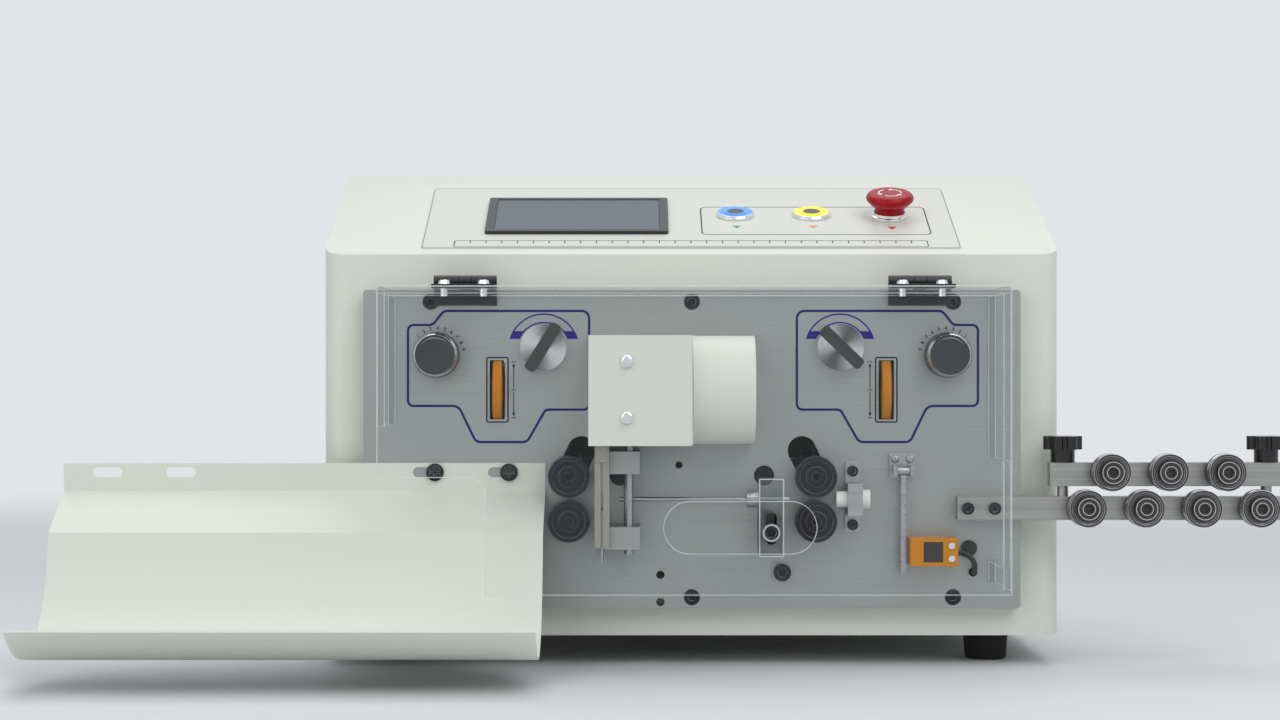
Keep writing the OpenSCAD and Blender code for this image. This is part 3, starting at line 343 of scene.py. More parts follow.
# nodes in their broken-edge form: finish and edge width in mm
edged = {
    "case_shell": (whiteCoat, 0.5),
    "base_plate": (whiteCoat, 0.4),
    "rear_cover": (whiteCoat, 0.4),
    "front_plate": (plateMetal, 0.4),
    "fasteners": (blackOxide, 0.35),
    "cutter_cover": (whiteCoat, 0.7),
    "blade_guides": (guideMetal, 0.2),
    "wire_tube": (turnedSteel, 0.1),
    "wire_guides": (barMetal, 0.5),
    "inlet_bush": (whiteNylon, 0.2),
    "lever_bracket": (barMetal, 0.15),
    "sensor": (sensorPlastic, 0.5),
    "straightener_base": (railMetal, 0.3),
    "straightener_slide": (railMetal, 0.3),
    "delivery_tray": (whiteCoat, 0.25),
    "hinge_leaves": (blackPlastic, 0.25),
    "cover_leaves": (blackPlastic, 0.25),
    "power_inlet": (blackPlastic, 0.4),
    "power_rocker": (blackPlastic, 0.3),
    "rubber_feet": (footRubber, 0.8),
    "console_bezels": (chromeMetal, 0.2),
    "start_button": (buttonCap, 0.2),
    "pause_button": (buttonCap, 0.2),
    "stop_plunger": (blackPlastic, 0.2),
    "stop_head": (stopRed, 0.4),
    "display": (screenFrame, 0.5),
    "swing_lever": (turnedSteel, 0.15),
}
edged.update({f"star_knob_{side}": (knobBlack, 0.6) for side in hands})
edged.update({f"thumbwheel_{side}": (amberPlastic, 0.3) for side in hands})
edged.update({f"lift_lever_{side}": (chromeMetal, 0.8) for side in hands})
edged.update({f"pressure_knob_{side}": (knobFace, 0.3) for side in hands})
edged.update({f"groove_roller_{i}": (darkSteel, 0.3) for i in grooveRollers})
for level in levels:
    edged.update({f"{level}_roller_{side}": (blackOxide, 0.35) for side in hands})
    edged[f"{level}_blade"] = (turnedSteel, 0.1)
edged.update({f"roller_arm_{side}": (blackOxide, 0.3) for side in hands})
pieces = {}
for node, (made, width) in edged.items():
    pieces[node] = softened(node, width, made)
print("edges broken on", len(pieces), "nodes")

# how far a face's normal goes along an axis: flat on, facing it, or on the slope of an edge or a groove
flatOn = 0.96
facing = 0.9
edgeSlopes = ((0.3, 0.55), (0.85, flatOn))
grooveSlopes = (0.25, flatOn)


# painted highlights on broken edges, on turned and milled pieces in front of a depth
def paintEdgeHighlights(piece, made, depth):
    paintFaces(piece, made, lambda at, normal: at.y < depth
               and any(low < abs(normal.y) < high for low, high in edgeSlopes))


# lever discs with painted reflection sectors and dark bars, and chrome rims on the knobs as painted
# highlights
leverFront = {"bar": -16.5, "metal": (160, 162, 163), "dark": (96, 99, 100), "light": (206, 208, 208),
              "turnDeg": 150}
knobRimHighlight = {"from": -25.0, "slope": (-0.8, -0.15)}
barY = plateHigh.y + leverFront["bar"] * mm
rimHighlightY = plateHigh.y + knobRimHighlight["from"] * mm
for side in hands:
    sheenSectorMetal = addSheenSectors(finish(f"sheenSectorMetal_{side}", leverFront["metal"], 0.26, 1.0),
                            axisOf(f"lever_turn_{side}"),
                            leverFront["dark"], leverFront["light"], leverFront["turnDeg"])
    lever = pieces[f"lift_lever_{side}"]
    paintFaces(lever, sheenSectorMetal, lambda at, normal: normal.y < -facing)
    paintFaces(lever, gripGrey, lambda at, normal: at.y < barY and normal.y < -facing)
    paintFaces(pieces[f"pressure_knob_{side}"], chromeMetal,
               lambda at, normal: at.y < rimHighlightY and knobRimHighlight["slope"][0] < normal.y < knobRimHighlight["slope"][1])
# painted highlights on the bevels of the fasteners and the wire guides
paintEdgeHighlights(pieces["fasteners"], brightSteelAndHighlight, plateHigh.y)
paintEdgeHighlights(pieces["wire_guides"], satinEdgeHighlight, cadHigh.y)

# tube holder of clear acrylic with painted shade on its slot walls; the painted highlight lines on its edges
# and the ring on its screw come later
holder = {"x": (35, 49), "slotX": (38.5, 44.9), "slotZ": (67.2, 84.8), "wall": 0.5, "screw": (41.7, 74),
          "edge": (41.95, 81.65, 12.7, 41.1, 0.3), "edgeLine": 0.6, "edgeLift": 25,
          "ring": 4.2, "ringLine": 1.0, "ringLift": 30}


def within(value, ends):
    return ends[0] * mm < value < ends[1] * mm


def inShadedSlot(at, normal):
    inside = within(at.x - middleX, holder["slotX"]) and within(at.z, holder["slotZ"])
    return inside and abs(normal.y) < holder["wall"]


paintFaces(pieces["wire_guides"], clearBlock, lambda at, normal: within(at.x - middleX, holder["x"]))
paintFaces(pieces["wire_guides"], labelAndShadeBlack, inShadedSlot)

# bright screws in the front of the cutter's cover and in the back of the case
brightScrews = {"coverFront": -60}
coverFront = plateHigh.y + brightScrews["coverFront"] * mm
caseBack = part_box("rear_cover")[0].y
paintFaces(pieces["fasteners"], chromeMetal, lambda at, normal: at.y < coverFront or at.y > caseBack)

# dark sunk face of the sensor
sensorFace = {"sunk": (0.25, 2), "wide": (5, 19)}
sensorLow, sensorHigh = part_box("sensor")
paintFaces(pieces["sensor"], labelAndShadeBlack, lambda at, normal: normal.y < -facing
           and within(at.y - sensorLow.y, sensorFace["sunk"])
           and within(at.x - sensorLow.x, sensorFace["wide"]))

# rollers: painted highlights on the rims and on the wire-polished grooves, dark spindle heads, and painted
# shade in their black sockets
spindleAxes = [axisOf(f"groove_spin_{i}") for i in grooveRollers]
spindle = {"clear": 11.0, "socket": 2.6}
spindleY = plateLow.y - spindle["clear"] * mm


def inShadedSocket(at):
    reach = min(math.hypot(at.x - axis.x, at.z - axis.z) for axis in spindleAxes)
    return at.y < spindleY and reach < spindle["socket"] * mm


for node in ("straightener_base", "straightener_slide"):
    paintFaces(pieces[node], darkSteel, lambda at, normal: at.y < spindleY)
    paintEdgeHighlights(pieces[node], brightSteelAndHighlight, spindleY)
    paintFaces(pieces[node], labelAndShadeBlack, lambda at, normal: inShadedSocket(at))
for i in grooveRollers:
    paintFaces(pieces[f"groove_roller_{i}"], brightSteelAndHighlight,
               lambda at, normal: grooveSlopes[0] < abs(normal.y) < grooveSlopes[1])
nutBlock = {"from": -46}
nutX = middleX + nutBlock["from"] * mm
for level in levels:
    for side in hands:
        paintEdgeHighlights(pieces[f"{level}_roller_{side}"], rollerEdgeHighlight, plateLow.y)
    paintFaces(pieces[f"{level}_blade"], plateMetal, lambda at, normal: at.x > nutX)

# thumbwheels turned slim, so that the painted shade on the window walls shows beside them
slimWheel = {"keep": 0.74, "hub": 6.0}
for side in hands:
    axis = axisOf(f"gap_wheel_{side}")
    low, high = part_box(f"thumbwheel_{side}")
    middle = (low.x + high.x) / 2
    for vertex in pieces[f"thumbwheel_{side}"].data.vertices:
        if math.hypot(vertex.co.y - axis.y, vertex.co.z - axis.z) > slimWheel["hub"] * mm:
            vertex.co.x = middle + (vertex.co.x - middle) * slimWheel["keep"]

# painted shade: black walls in the thumbwheels' windows
window = {"at": (105, 149.5), "half": (4.6, 16.6)}
for side in (-1, 1):
    windowX = middleX + side * window["at"][0] * mm
    paintFaces(pieces["front_plate"], labelAndShadeBlack, lambda at, normal: abs(normal.y) < flatOn
               and abs(at.x - windowX) < window["half"][0] * mm
               and abs(at.z - window["at"][1] * mm) < window["half"][1] * mm)
print("second finishes painted")

# cheek that closes the cutter cover's box beside the round drum
cheek = {"x": (-1.0, -0.4), "front": -61.5, "low": 121.2, "high": 178.1,
         "centre": (-26.05, 149.65), "r": 28.9, "steps": 32}
work = bmesh.new()
drumAngles = [math.radians(90 + 180 * k / cheek["steps"]) for k in range(cheek["steps"] + 1)]
outline = [(cheek["front"], cheek["low"]), (cheek["front"], cheek["high"])]
outline += [(cheek["centre"][0] + cheek["r"] * math.cos(a), cheek["centre"][1] + cheek["r"] * math.sin(a))
            for a in drumAngles]
rings = [[work.verts.new(spot(x, y, z)) for y, z in outline] for x in cheek["x"]]
work.faces.new(rings[0])
work.faces.new(rings[1][::-1])
for i in range(len(outline)):
    j = (i + 1) % len(outline)
    work.faces.new((rings[0][i], rings[1][i], rings[1][j], rings[0][j]))
bmesh.ops.recalc_face_normals(work, faces=work.faces)
cheekMesh = bpy.data.meshes.new("cutter_cheek")
work.to_mesh(cheekMesh)
work.free()
newPiece("cutter_cheek", cheekMesh, bodyOf("cutter_cover"), whiteCoat)

# nodes that keep their CAD mesh
plain = {
    "console_panel": panelFilm,
    "stepper_motors": motorBlack,
    "sensor_cable": blackPlastic,
    "electronics": circuitGreen,
    "arm_springs": springSteel,
    "bearing_blocks": turnedSteel,
    "blade_screw": turnedSteel,
}
for node, made in plain.items():
    paint(nodes[node], made)

# clear cover: sheets cut from acrylic, with pale edge faces and painted highlight lines along the edges
sheetAxis = {"cover_front": 1, "cover_top": 2, "cover_sides": 0}
sheetEdge = {"width": 0.4, "slope": 0.3}
for node, axis in sheetAxis.items():
    pieces[node] = softened(node, sheetEdge["width"], clearSheet)
    paintFaces(pieces[node], clearEdge, lambda at, normal: abs(normal[axis]) < sheetEdge["slope"])
    paintFaces(pieces[node], clearEdgeHighlight, lambda at, normal: sheetEdge["slope"] < abs(normal[axis]) < flatOn)
print("clear cover finished")

# flat frames for what is printed: u to the right, v up the surface, w out of it
plateFrame = Matrix.Identity(4)
plateFrame.col[1] = (0, 0, 1, 0)
plateFrame.col[2] = (0, -1, 0, 0)
plateFrame.col[3] = (middleX, plateLow.y, 0, 1)

film = {"thick": 0.8, "start": 9.5}  # console film: thickness, and where it starts up the slope
slopeOut = -Vector(joints["start_press"]["axis"])
slopeUp = Vector((0, slopeOut.z, -slopeOut.y))
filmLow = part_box("console_panel")[0]
filmEdge = Vector((middleX, filmLow.y, filmLow.z + film["thick"] * mm * slopeOut.z))
slopeFrame = Matrix.Identity(4)
slopeFrame.col[1] = (*slopeUp, 0)
slopeFrame.col[2] = (*slopeOut, 0)
slopeFrame.col[3] = (*(filmEdge - slopeUp * film["start"] * mm), 1)

inkFilm = {"proud": 0.06, "sunk": 0.01, "mitre": 0.4, "least": 1e-6}
ringSteps = 40


def lifted(place, height):
    return place @ Matrix.Translation((0, 0, height * mm))


# outline with rounded corners, each corner given as x, y and radius
def fillet(corners, steps=6):
    path = []
    for i, (x, y, r) in enumerate(corners):
        here = Vector((x, y))
        before = (Vector(corners[i - 1][:2]) - here).normalized()
        after = (Vector(corners[(i + 1) % len(corners)][:2]) - here).normalized()
        half = before.angle(after) / 2
        centre = here + (before + after).normalized() * (r / math.sin(half))
        first = here + before * (r / math.tan(half)) - centre
        last = here + after * (r / math.tan(half)) - centre
        sweep = first.angle_signed(last)
        for k in range(steps + 1):
            path.append(centre + Matrix.Rotation(-sweep * k / steps, 2) @ first)
    return path


def box2d(cx, cy, w, h, r):
    return fillet([(cx - w / 2, cy - h / 2, r), (cx + w / 2, cy - h / 2, r),
                   (cx + w / 2, cy + h / 2, r), (cx - w / 2, cy + h / 2, r)])


def arc(cx, cy, r, fromDeg, toDeg, steps=24):
    angles = [math.radians(fromDeg + (toDeg - fromDeg) * k / steps) for k in range(steps + 1)]
    return [Vector((cx + r * math.cos(a), cy + r * math.sin(a))) for a in angles]


def ring(cx, cy, r):
    return arc(cx, cy, r, 0, 360, ringSteps)[:-1]


# strip of ink along a path, mitred at its points
def inkLine(work, path, width, closed=True, index=0):
    rows = []
    count = len(path)
    for i, here in enumerate(path):
        before = path[i - 1] if closed or i else here
        after = path[(i + 1) % count] if closed or i < count - 1 else here
        goes = [d.normalized() for d in (here - before, after - here) if d.length > inkFilm["least"]]
        along = sum(goes, Vector((0, 0))).normalized()
        across = Vector((-along.y, along.x))
        reach = width / 2 / max(inkFilm["mitre"], across.dot(Vector((-goes[0].y, goes[0].x))))
        ends = [here + across * reach, here - across * reach]
        rows.append([work.verts.new((p.x * mm, p.y * mm, w * mm))
                     for w in (inkFilm["proud"], -inkFilm["sunk"]) for p in ends])
    for i in range(count if closed else count - 1):
        a, b = rows[i], rows[(i + 1) % count]
        for j, k in ((0, 1), (1, 3), (3, 2), (2, 0)):
            work.faces.new((a[j], a[k], b[k], b[j])).material_index = index
    if not closed:
        for row in (rows[0], rows[-1]):
            work.faces.new((row[0], row[1], row[3], row[2])).material_index = index


def inkShape(work, outline, index=0):
    top = [work.verts.new((p[0] * mm, p[1] * mm, inkFilm["proud"] * mm)) for p in outline]
    low = [work.verts.new((p[0] * mm, p[1] * mm, -inkFilm["sunk"] * mm)) for p in outline]
    work.faces.new(top).material_index = index
    work.faces.new(low[::-1]).material_index = index
    for i in range(len(top)):
        j = (i + 1) % len(top)
        work.faces.new((low[i], low[j], top[j], top[i])).material_index = index


def inkPiece(name, work, place, body, *finishes):
    bmesh.ops.recalc_face_normals(work, faces=work.faces)
    mesh = bpy.data.meshes.new(name)
    work.to_mesh(mesh)
    work.free()
    mesh.transform(place)
    return newPiece(name, mesh, body, *finishes)


# plate print: a frame round each side's controls, the lever's bow and the thumbwheel's scale
frameInk = {
    "line": 1.3,
    "mirror": 0.6,
    "corners": [(-134, 192.1, 4), (-55.5, 192.1, 4), (-55.5, 138.8, 3), (-79, 138.8, 3),
                (-89, 121.3, 4), (-116.6, 121.3, 4), (-126, 140.8, 5), (-153.3, 140.8, 3),
                (-153.3, 184.5, 3), (-140, 184.5, 4)],
}
leverInk = {"at": (80, 171.5), "radii": (14.3, 18.9), "line": 0.8, "foot": 5.5, "head": 9.7, "steps": 8}
wheelInk = {"at": window["at"], "size": (11.5, 34.8), "line": 0.8, "corner": 1.0, "scaleLine": 0.5,
            "scaleIn": 8.8, "step": 15.1, "tick": 2.4, "from": 1.0, "to": 12.4, "tip": 14.4, "head": 1.9}


# angles at which a ring of radius r crosses the end block's foot and head
def blockAngles(r):
    return [math.degrees(math.asin(leverInk[end] / r)) for end in ("foot", "head")]


def platePrint(side):
    work = bmesh.new()
    corners = frameInk["corners"]
    if side > 0:
        corners = [(2 * frameInk["mirror"] - x, z, r) for x, z, r in reversed(corners)]
    inkLine(work, fillet(corners), frameInk["line"])
    x, z = leverInk["at"][0] * side, leverInk["at"][1]
    for r in leverInk["radii"]:
        foot = blockAngles(r)[0]
        inkLine(work, arc(x, z, r, foot, 180 - foot), leverInk["line"], False, 1)
    inner = leverInk["radii"][0] + leverInk["line"] / 2
    outer = leverInk["radii"][1] - leverInk["line"] / 2
    block = arc(x, z, outer, *blockAngles(outer), leverInk["steps"])
    block += arc(x, z, inner, *blockAngles(inner)[::-1], leverInk["steps"])
    inkShape(work, block, 1)
    inkShape(work, [Vector((2 * x - p.x, p.y)) for p in reversed(block)], 1)
    x, z = wheelInk["at"][0] * side, wheelInk["at"][1]
    inkLine(work, box2d(x, z, *wheelInk["size"], wheelInk["corner"]), wheelInk["line"], True, 2)
    x -= wheelInk["scaleIn"] * side
    half = wheelInk["tick"] / 2
    for step in (-1, 0, 1):
        at = z + step * wheelInk["step"]
        tick = [Vector((x - half, at)), Vector((x + half, at))]
        inkLine(work, tick, wheelInk["scaleLine"], False, 2)
    for step in (-1, 1):
        ends = [Vector((x, z + step * wheelInk[end])) for end in ("from", "to")]
        inkLine(work, ends, wheelInk["scaleLine"], False, 2)
        foot = wheelInk["head"] / 2
        inkShape(work, [(x, z + step * wheelInk["tip"]), (x - step * foot, ends[1].y),
                        (x + step * foot, ends[1].y)], 2)
    name = "plate_print_left" if side < 0 else "plate_print_right"
    return inkPiece(name, work, plateFrame, bodyOf("front_plate"), navyInk, blueInk, darkInk)


for side in (-1, 1):
    platePrint(side)
print("plate printed")

# painted highlight rings on the spindle heads of the straightener
spindleHighlightRings = {"radii": (5.7, 3.3), "line": 0.45, "onBase": 4}
baseAxes = spindleAxes[:spindleHighlightRings["onBase"]]
slideAxes = spindleAxes[spindleHighlightRings["onBase"]:]
for node, axes in (("straightener_base", baseAxes), ("straightener_slide", slideAxes)):
    work = bmesh.new()
    for axis in axes:
        for radius in spindleHighlightRings["radii"]:
            inkLine(work, ring((axis.x - middleX) / mm, axis.z / mm, radius), spindleHighlightRings["line"])
    headFace = (plateLow.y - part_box(node)[0].y) / mm
    inkPiece(node + "_rings", work, lifted(plateFrame, headFace), bodyOf(node), brightSteelAndHighlight)

# painted highlight lines on the edges of the tube holder's front, and the bright ring on its screw
work = bmesh.new()
inkLine(work, box2d(*holder["edge"]), holder["edgeLine"])
inkPiece("holder_edge_highlights", work, lifted(plateFrame, holder["edgeLift"]), bodyOf("wire_guides"), clearEdgeHighlight)
work = bmesh.new()
inkLine(work, ring(*holder["screw"], holder["ring"]), holder["ringLine"])
inkPiece("holder_screw_ring", work, lifted(plateFrame, holder["ringLift"]), bodyOf("fasteners"), brightSteelAndHighlight)
print("rings and sawn edges drawn")

# console print: border, button field, ruler strip and a mark under each button
consoleInk = {
    "border": (0, 66, 294.6, 111.6, 2), "borderLine": 0.45,
    "field": (70.05, 59, 127.1, 52, 4), "fieldLine": 0.7,
    "strip": (0, 16.5, 260, 11, 1.5), "stripLine": 0.5,
    "marks": ((26, 47, 2), (69, 47, 3), (112.8, 45, 4)), "markSize": 2.6,  # x, up the slope, ink
}


def consolePrint():
    work = bmesh.new()
    inkLine(work, box2d(*consoleInk["border"]), consoleInk["borderLine"], True, 1)
    inkLine(work, box2d(*consoleInk["field"]), consoleInk["fieldLine"])
    inkLine(work, box2d(*consoleInk["strip"]), consoleInk["stripLine"])
    size = consoleInk["markSize"]
    for x, up, index in consoleInk["marks"]:
        inkShape(work, [(x, up - size), (x + size, up + size), (x - size, up + size)], index)
    return inkPiece("console_print", work, slopeFrame, bodyOf("console_panel"),
                    darkInk, greyInk, greenInk, amberInk, redInk)


consolePrint()

# glass of the display, seated in the frame's recess
pane = {"at": (-63.2, 65.5), "size": (91.6, 56.6), "corner": 0.6, "lift": 1.45}
work = bmesh.new()
inkShape(work, box2d(*pane["at"], *pane["size"], pane["corner"]))
inkPiece("display_glass", work, lifted(slopeFrame, pane["lift"]), bodyOf("display"), screenGlass)

# lit ring in each push button, and its light in the bezel's dish and on the cap's edge
buttons = {"start_button": ((26, 69), blueLamp), "pause_button": ((69, 69), amberLamp)}
lampRing = {"radius": 5.3, "width": 0.9, "lift": 2.5, "capSlope": (0.2, 0.97), "dish": (6.4, 9.7)}


def inDish(at, normal, centre):
    away = at - centre
    away -= slopeOut * away.dot(slopeOut)
    return within(away.length, lampRing["dish"]) and normal.dot(slopeOut) > facing


def onCapEdge(normal):
    return lampRing["capSlope"][0] < normal.dot(slopeOut) < lampRing["capSlope"][1]


for node, (centre, lamp) in buttons.items():
    middle = slopeFrame @ Vector((centre[0] * mm, centre[1] * mm, 0))
    paintFaces(pieces["console_bezels"], lamp, lambda at, normal: inDish(at, normal, middle))
    paintFaces(pieces[node], lamp, lambda at, normal: onCapEdge(normal))
    work = bmesh.new()
    inkLine(work, ring(*centre, lampRing["radius"]), lampRing["width"])
    inkPiece(node + "_ring", work, lifted(slopeFrame, lampRing["lift"]), bodyOf(node), lamp)

# turning arrows on the stop head
stopArrows = {"at": (112.8, 65), "radius": 6.4, "line": 0.9, "starts": (0, 120, 240), "sweep": 78, "tip": 20,
              "head": 1.9, "steps": 12, "lift": 14.6}


def onArrow(radius, degrees):
    return arc(*stopArrows["at"], radius, degrees, degrees, 1)[0]


work = bmesh.new()
radius = stopArrows["radius"]
for start in stopArrows["starts"]:
    end = start + stopArrows["sweep"]
    bow = arc(*stopArrows["at"], radius, start, end, stopArrows["steps"])
    inkLine(work, bow, stopArrows["line"], False)
    inkShape(work, [onArrow(radius, end + stopArrows["tip"]), onArrow(radius + stopArrows["head"], end),
                    onArrow(radius - stopArrows["head"], end)])
inkPiece("stop_arrows", work, lifted(slopeFrame, stopArrows["lift"]), bodyOf("stop_head"), whiteInk)
print("console printed")


def newTree(name, sockets):
    tree = bpy.data.node_groups.new(name, "GeometryNodeTree")
    for label, kind, value in sockets:
        socket = tree.interface.new_socket(label, in_out="INPUT", socket_type=kind)
        if value is not None:
            socket.default_value = value
    tree.interface.new_socket("Geometry", in_out="OUTPUT", socket_type="NodeSocketGeometry")
    return tree


def mathNode(tree, operation, a, b):
    node = treeNode(tree, "ShaderNodeMath", operation=operation)
    for socket, value in zip(node.inputs, (a, b)):
        if isinstance(value, (int, float)):
            socket.default_value = value
        else:
            tree.links.new(value, socket)
    return node.outputs[0]


# every tree ends in a plain mesh with the given finish
def endTree(tree, geometry, given):
    real = treeNode(tree, "GeometryNodeRealizeInstances")
    coat = treeNode(tree, "GeometryNodeSetMaterial")
    out = treeNode(tree, "NodeGroupOutput")
    tree.links.new(geometry, real.inputs["Geometry"])
    tree.links.new(real.outputs["Geometry"], coat.inputs["Geometry"])
    tree.links.new(given.outputs["Finish"], coat.inputs["Material"])
    tree.links.new(coat.outputs["Geometry"], out.inputs["Geometry"])


# bars set round a ring
def ringTree():
    tree = newTree("ringOfBars", [
        ("Count", "NodeSocketInt", 12), ("Radius", "NodeSocketFloat", 0.01),
        ("Start", "NodeSocketFloat", 0.0), ("Step", "NodeSocketFloat", 0.1),
        ("Bar", "NodeSocketVector", (0.001, 0.001, 0.001)), ("Finish", "NodeSocketMaterial", None)])
    given = treeNode(tree, "NodeGroupInput")
    dots = treeNode(tree, "GeometryNodePoints")
    index = treeNode(tree, "GeometryNodeInputIndex")
    angle = mathNode(tree, "ADD", given.outputs["Start"],
                     mathNode(tree, "MULTIPLY", index.outputs[0], given.outputs["Step"]))
    at = treeNode(tree, "ShaderNodeCombineXYZ")
    for axis, turn in (("X", "COSINE"), ("Y", "SINE")):
        along = mathNode(tree, turn, angle, 0)
        tree.links.new(mathNode(tree, "MULTIPLY", along, given.outputs["Radius"]), at.inputs[axis])
    spin = treeNode(tree, "ShaderNodeCombineXYZ")
    tree.links.new(angle, spin.inputs["Z"])
    toTurn = treeNode(tree, "FunctionNodeEulerToRotation")
    tree.links.new(spin.outputs[0], toTurn.inputs[0])
    bar = treeNode(tree, "GeometryNodeMeshCube")
    tree.links.new(given.outputs["Bar"], bar.inputs["Size"])
    put = treeNode(tree, "GeometryNodeInstanceOnPoints")
    tree.links.new(given.outputs["Count"], dots.inputs["Count"])
    tree.links.new(at.outputs[0], dots.inputs["Position"])
    tree.links.new(dots.outputs[0], put.inputs["Points"])
    tree.links.new(bar.outputs["Mesh"], put.inputs["Instance"])
    tree.links.new(toTurn.outputs[0], put.inputs["Rotation"])
    endTree(tree, put.outputs["Instances"], given)
    return tree


# bars in a straight row
def rowTree():
    tree = newTree("rowOfBars", [
        ("Count", "NodeSocketInt", 12), ("Start", "NodeSocketVector", (0, 0, 0)),
        ("Pitch", "NodeSocketVector", (0.001, 0, 0)), ("Bar", "NodeSocketVector", (0.001, 0.001, 0.001)),
        ("Finish", "NodeSocketMaterial", None)])
    given = treeNode(tree, "NodeGroupInput")
    line = treeNode(tree, "GeometryNodeMeshLine", mode="OFFSET")
    bar = treeNode(tree, "GeometryNodeMeshCube")
    put = treeNode(tree, "GeometryNodeInstanceOnPoints")
    tree.links.new(given.outputs["Count"], line.inputs["Count"])
    tree.links.new(given.outputs["Start"], line.inputs["Start Location"])
    tree.links.new(given.outputs["Pitch"], line.inputs["Offset"])
    tree.links.new(given.outputs["Bar"], bar.inputs["Size"])
    tree.links.new(line.outputs["Mesh"], put.inputs["Points"])
    tree.links.new(bar.outputs["Mesh"], put.inputs["Instance"])
    endTree(tree, put.outputs["Instances"], given)
    return tree


# heads in a row, each with a slot cut across it
def headTree():
    tree = newTree("slottedHeads", [
        ("Count", "NodeSocketInt", 2), ("Start", "NodeSocketVector", (0, 0, 0)),
        ("Pitch", "NodeSocketVector", (0.01, 0, 0)), ("Sides", "NodeSocketInt", 28),
        ("Foot", "NodeSocketFloat", 0.002), ("Top", "NodeSocketFloat", 0.0015),
        ("Height", "NodeSocketFloat", 0.001), ("Slot", "NodeSocketVector", (0.005, 0.0006, 0.0008)),
        ("Turn", "NodeSocketFloat", 0.6), ("Finish", "NodeSocketMaterial", None)])
    given = treeNode(tree, "NodeGroupInput")
    line = treeNode(tree, "GeometryNodeMeshLine", mode="OFFSET")
    head = treeNode(tree, "GeometryNodeMeshCone", fill_type="NGON")
    slot = treeNode(tree, "GeometryNodeMeshCube")
    lift = treeNode(tree, "GeometryNodeTransform")
    raised = treeNode(tree, "ShaderNodeCombineXYZ")
    cut = treeNode(tree, "GeometryNodeMeshBoolean", operation="DIFFERENCE")
    turned = treeNode(tree, "ShaderNodeCombineXYZ")
    toTurn = treeNode(tree, "FunctionNodeEulerToRotation")
    put = treeNode(tree, "GeometryNodeInstanceOnPoints")
    for socket, target in (
            ("Count", line.inputs["Count"]), ("Start", line.inputs["Start Location"]),
            ("Pitch", line.inputs["Offset"]), ("Sides", head.inputs["Vertices"]),
            ("Foot", head.inputs["Radius Bottom"]), ("Top", head.inputs["Radius Top"]),
            ("Height", head.inputs["Depth"]), ("Slot", slot.inputs["Size"]),
            ("Height", raised.inputs["Z"]), ("Turn", turned.inputs["Z"])):
        tree.links.new(given.outputs[socket], target)
    tree.links.new(slot.outputs["Mesh"], lift.inputs["Geometry"])
    tree.links.new(raised.outputs[0], lift.inputs["Translation"])
    tree.links.new(head.outputs["Mesh"], cut.inputs["Mesh 1"])
    tree.links.new(lift.outputs["Geometry"], cut.inputs["Mesh 2"])
    tree.links.new(turned.outputs[0], toTurn.inputs[0])
    tree.links.new(line.outputs["Mesh"], put.inputs["Points"])
    tree.links.new(cut.outputs["Mesh"], put.inputs["Instance"])
    tree.links.new(toTurn.outputs[0], put.inputs["Rotation"])
    endTree(tree, put.outputs["Instances"], given)
    return tree


# piece made by a tree, as a plain mesh in its place
def repeated(name, tree, place, body, **inputs):
    piece = bpy.data.objects.new(name, bpy.data.meshes.new(name))
    bpy.context.collection.objects.link(piece)
    made = piece.modifiers.new("repeat", "NODES")
    made.node_group = tree
    for item in tree.interface.items_tree:
        if item.in_out == "INPUT":
            made[item.identifier] = inputs[item.name]
    settle(piece)
    piece.data.transform(place)
    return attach(piece, body)


ringOfBars = ringTree()
rowOfBars = rowTree()
slottedHeads = headTree()

# ticks of the ruler strip
ruler = {"count": 31, "from": -130, "pitch": 8.667, "tick": (0.6, 3.8), "at": 19.6}
repeated("ruler_ticks", rowOfBars, slopeFrame, bodyOf("console_panel"),
         Count=ruler["count"], Start=Vector((ruler["from"], ruler["at"], 0)) * mm,
         Pitch=Vector((ruler["pitch"], 0, 0)) * mm,
         Bar=Vector((*ruler["tick"], 2 * inkFilm["proud"])) * mm, Finish=darkInk)

# figures round the pressure knobs, and the knobs' knurled rims
dial = {"at": (137.5, 168.4), "radius": 14.4, "count": 9, "fromDeg": 11.5, "stepDeg": 15.5, "size": 2.5,
        "heavy": 0.08}
knurl = {"count": 56, "radius": 12, "bar": (0.5, 0.75), "from": 1.6, "to": 15}


def figure(text, place):
    curve = bpy.data.curves.new("figure", "FONT")
    curve.body = text
    curve.size = dial["size"] * mm
    curve.align_x = "CENTER"
    curve.align_y = "CENTER"
    curve.extrude = inkFilm["proud"] * mm
    curve.offset = dial["heavy"] * mm
    typed = bpy.data.objects.new("figure", curve)
    bpy.context.collection.objects.link(typed)
    mesh = bpy.data.meshes.new_from_object(typed.evaluated_get(bpy.context.evaluated_depsgraph_get()))
    bpy.data.objects.remove(typed)
    mesh.transform(place)
    return mesh


def dialPrint(name, side):
    work = bmesh.new()
    for i in range(dial["count"]):
        a = math.radians(dial["fromDeg"] + i * dial["stepDeg"])
        x = dial["at"][0] * side - side * dial["radius"] * math.cos(a)
        z = dial["at"][1] + dial["radius"] * math.sin(a)
        lean = side * (math.pi / 2 - a)
        place = plateFrame @ Matrix.Translation((x * mm, z * mm, 0)) @ Matrix.Rotation(lean, 4, "Z")
        work.from_mesh(figure(str(dial["count"] - i), place))
    mesh = bpy.data.meshes.new(name)
    work.to_mesh(mesh)
    work.free()
    return newPiece(name, mesh, bodyOf("front_plate"), darkInk)


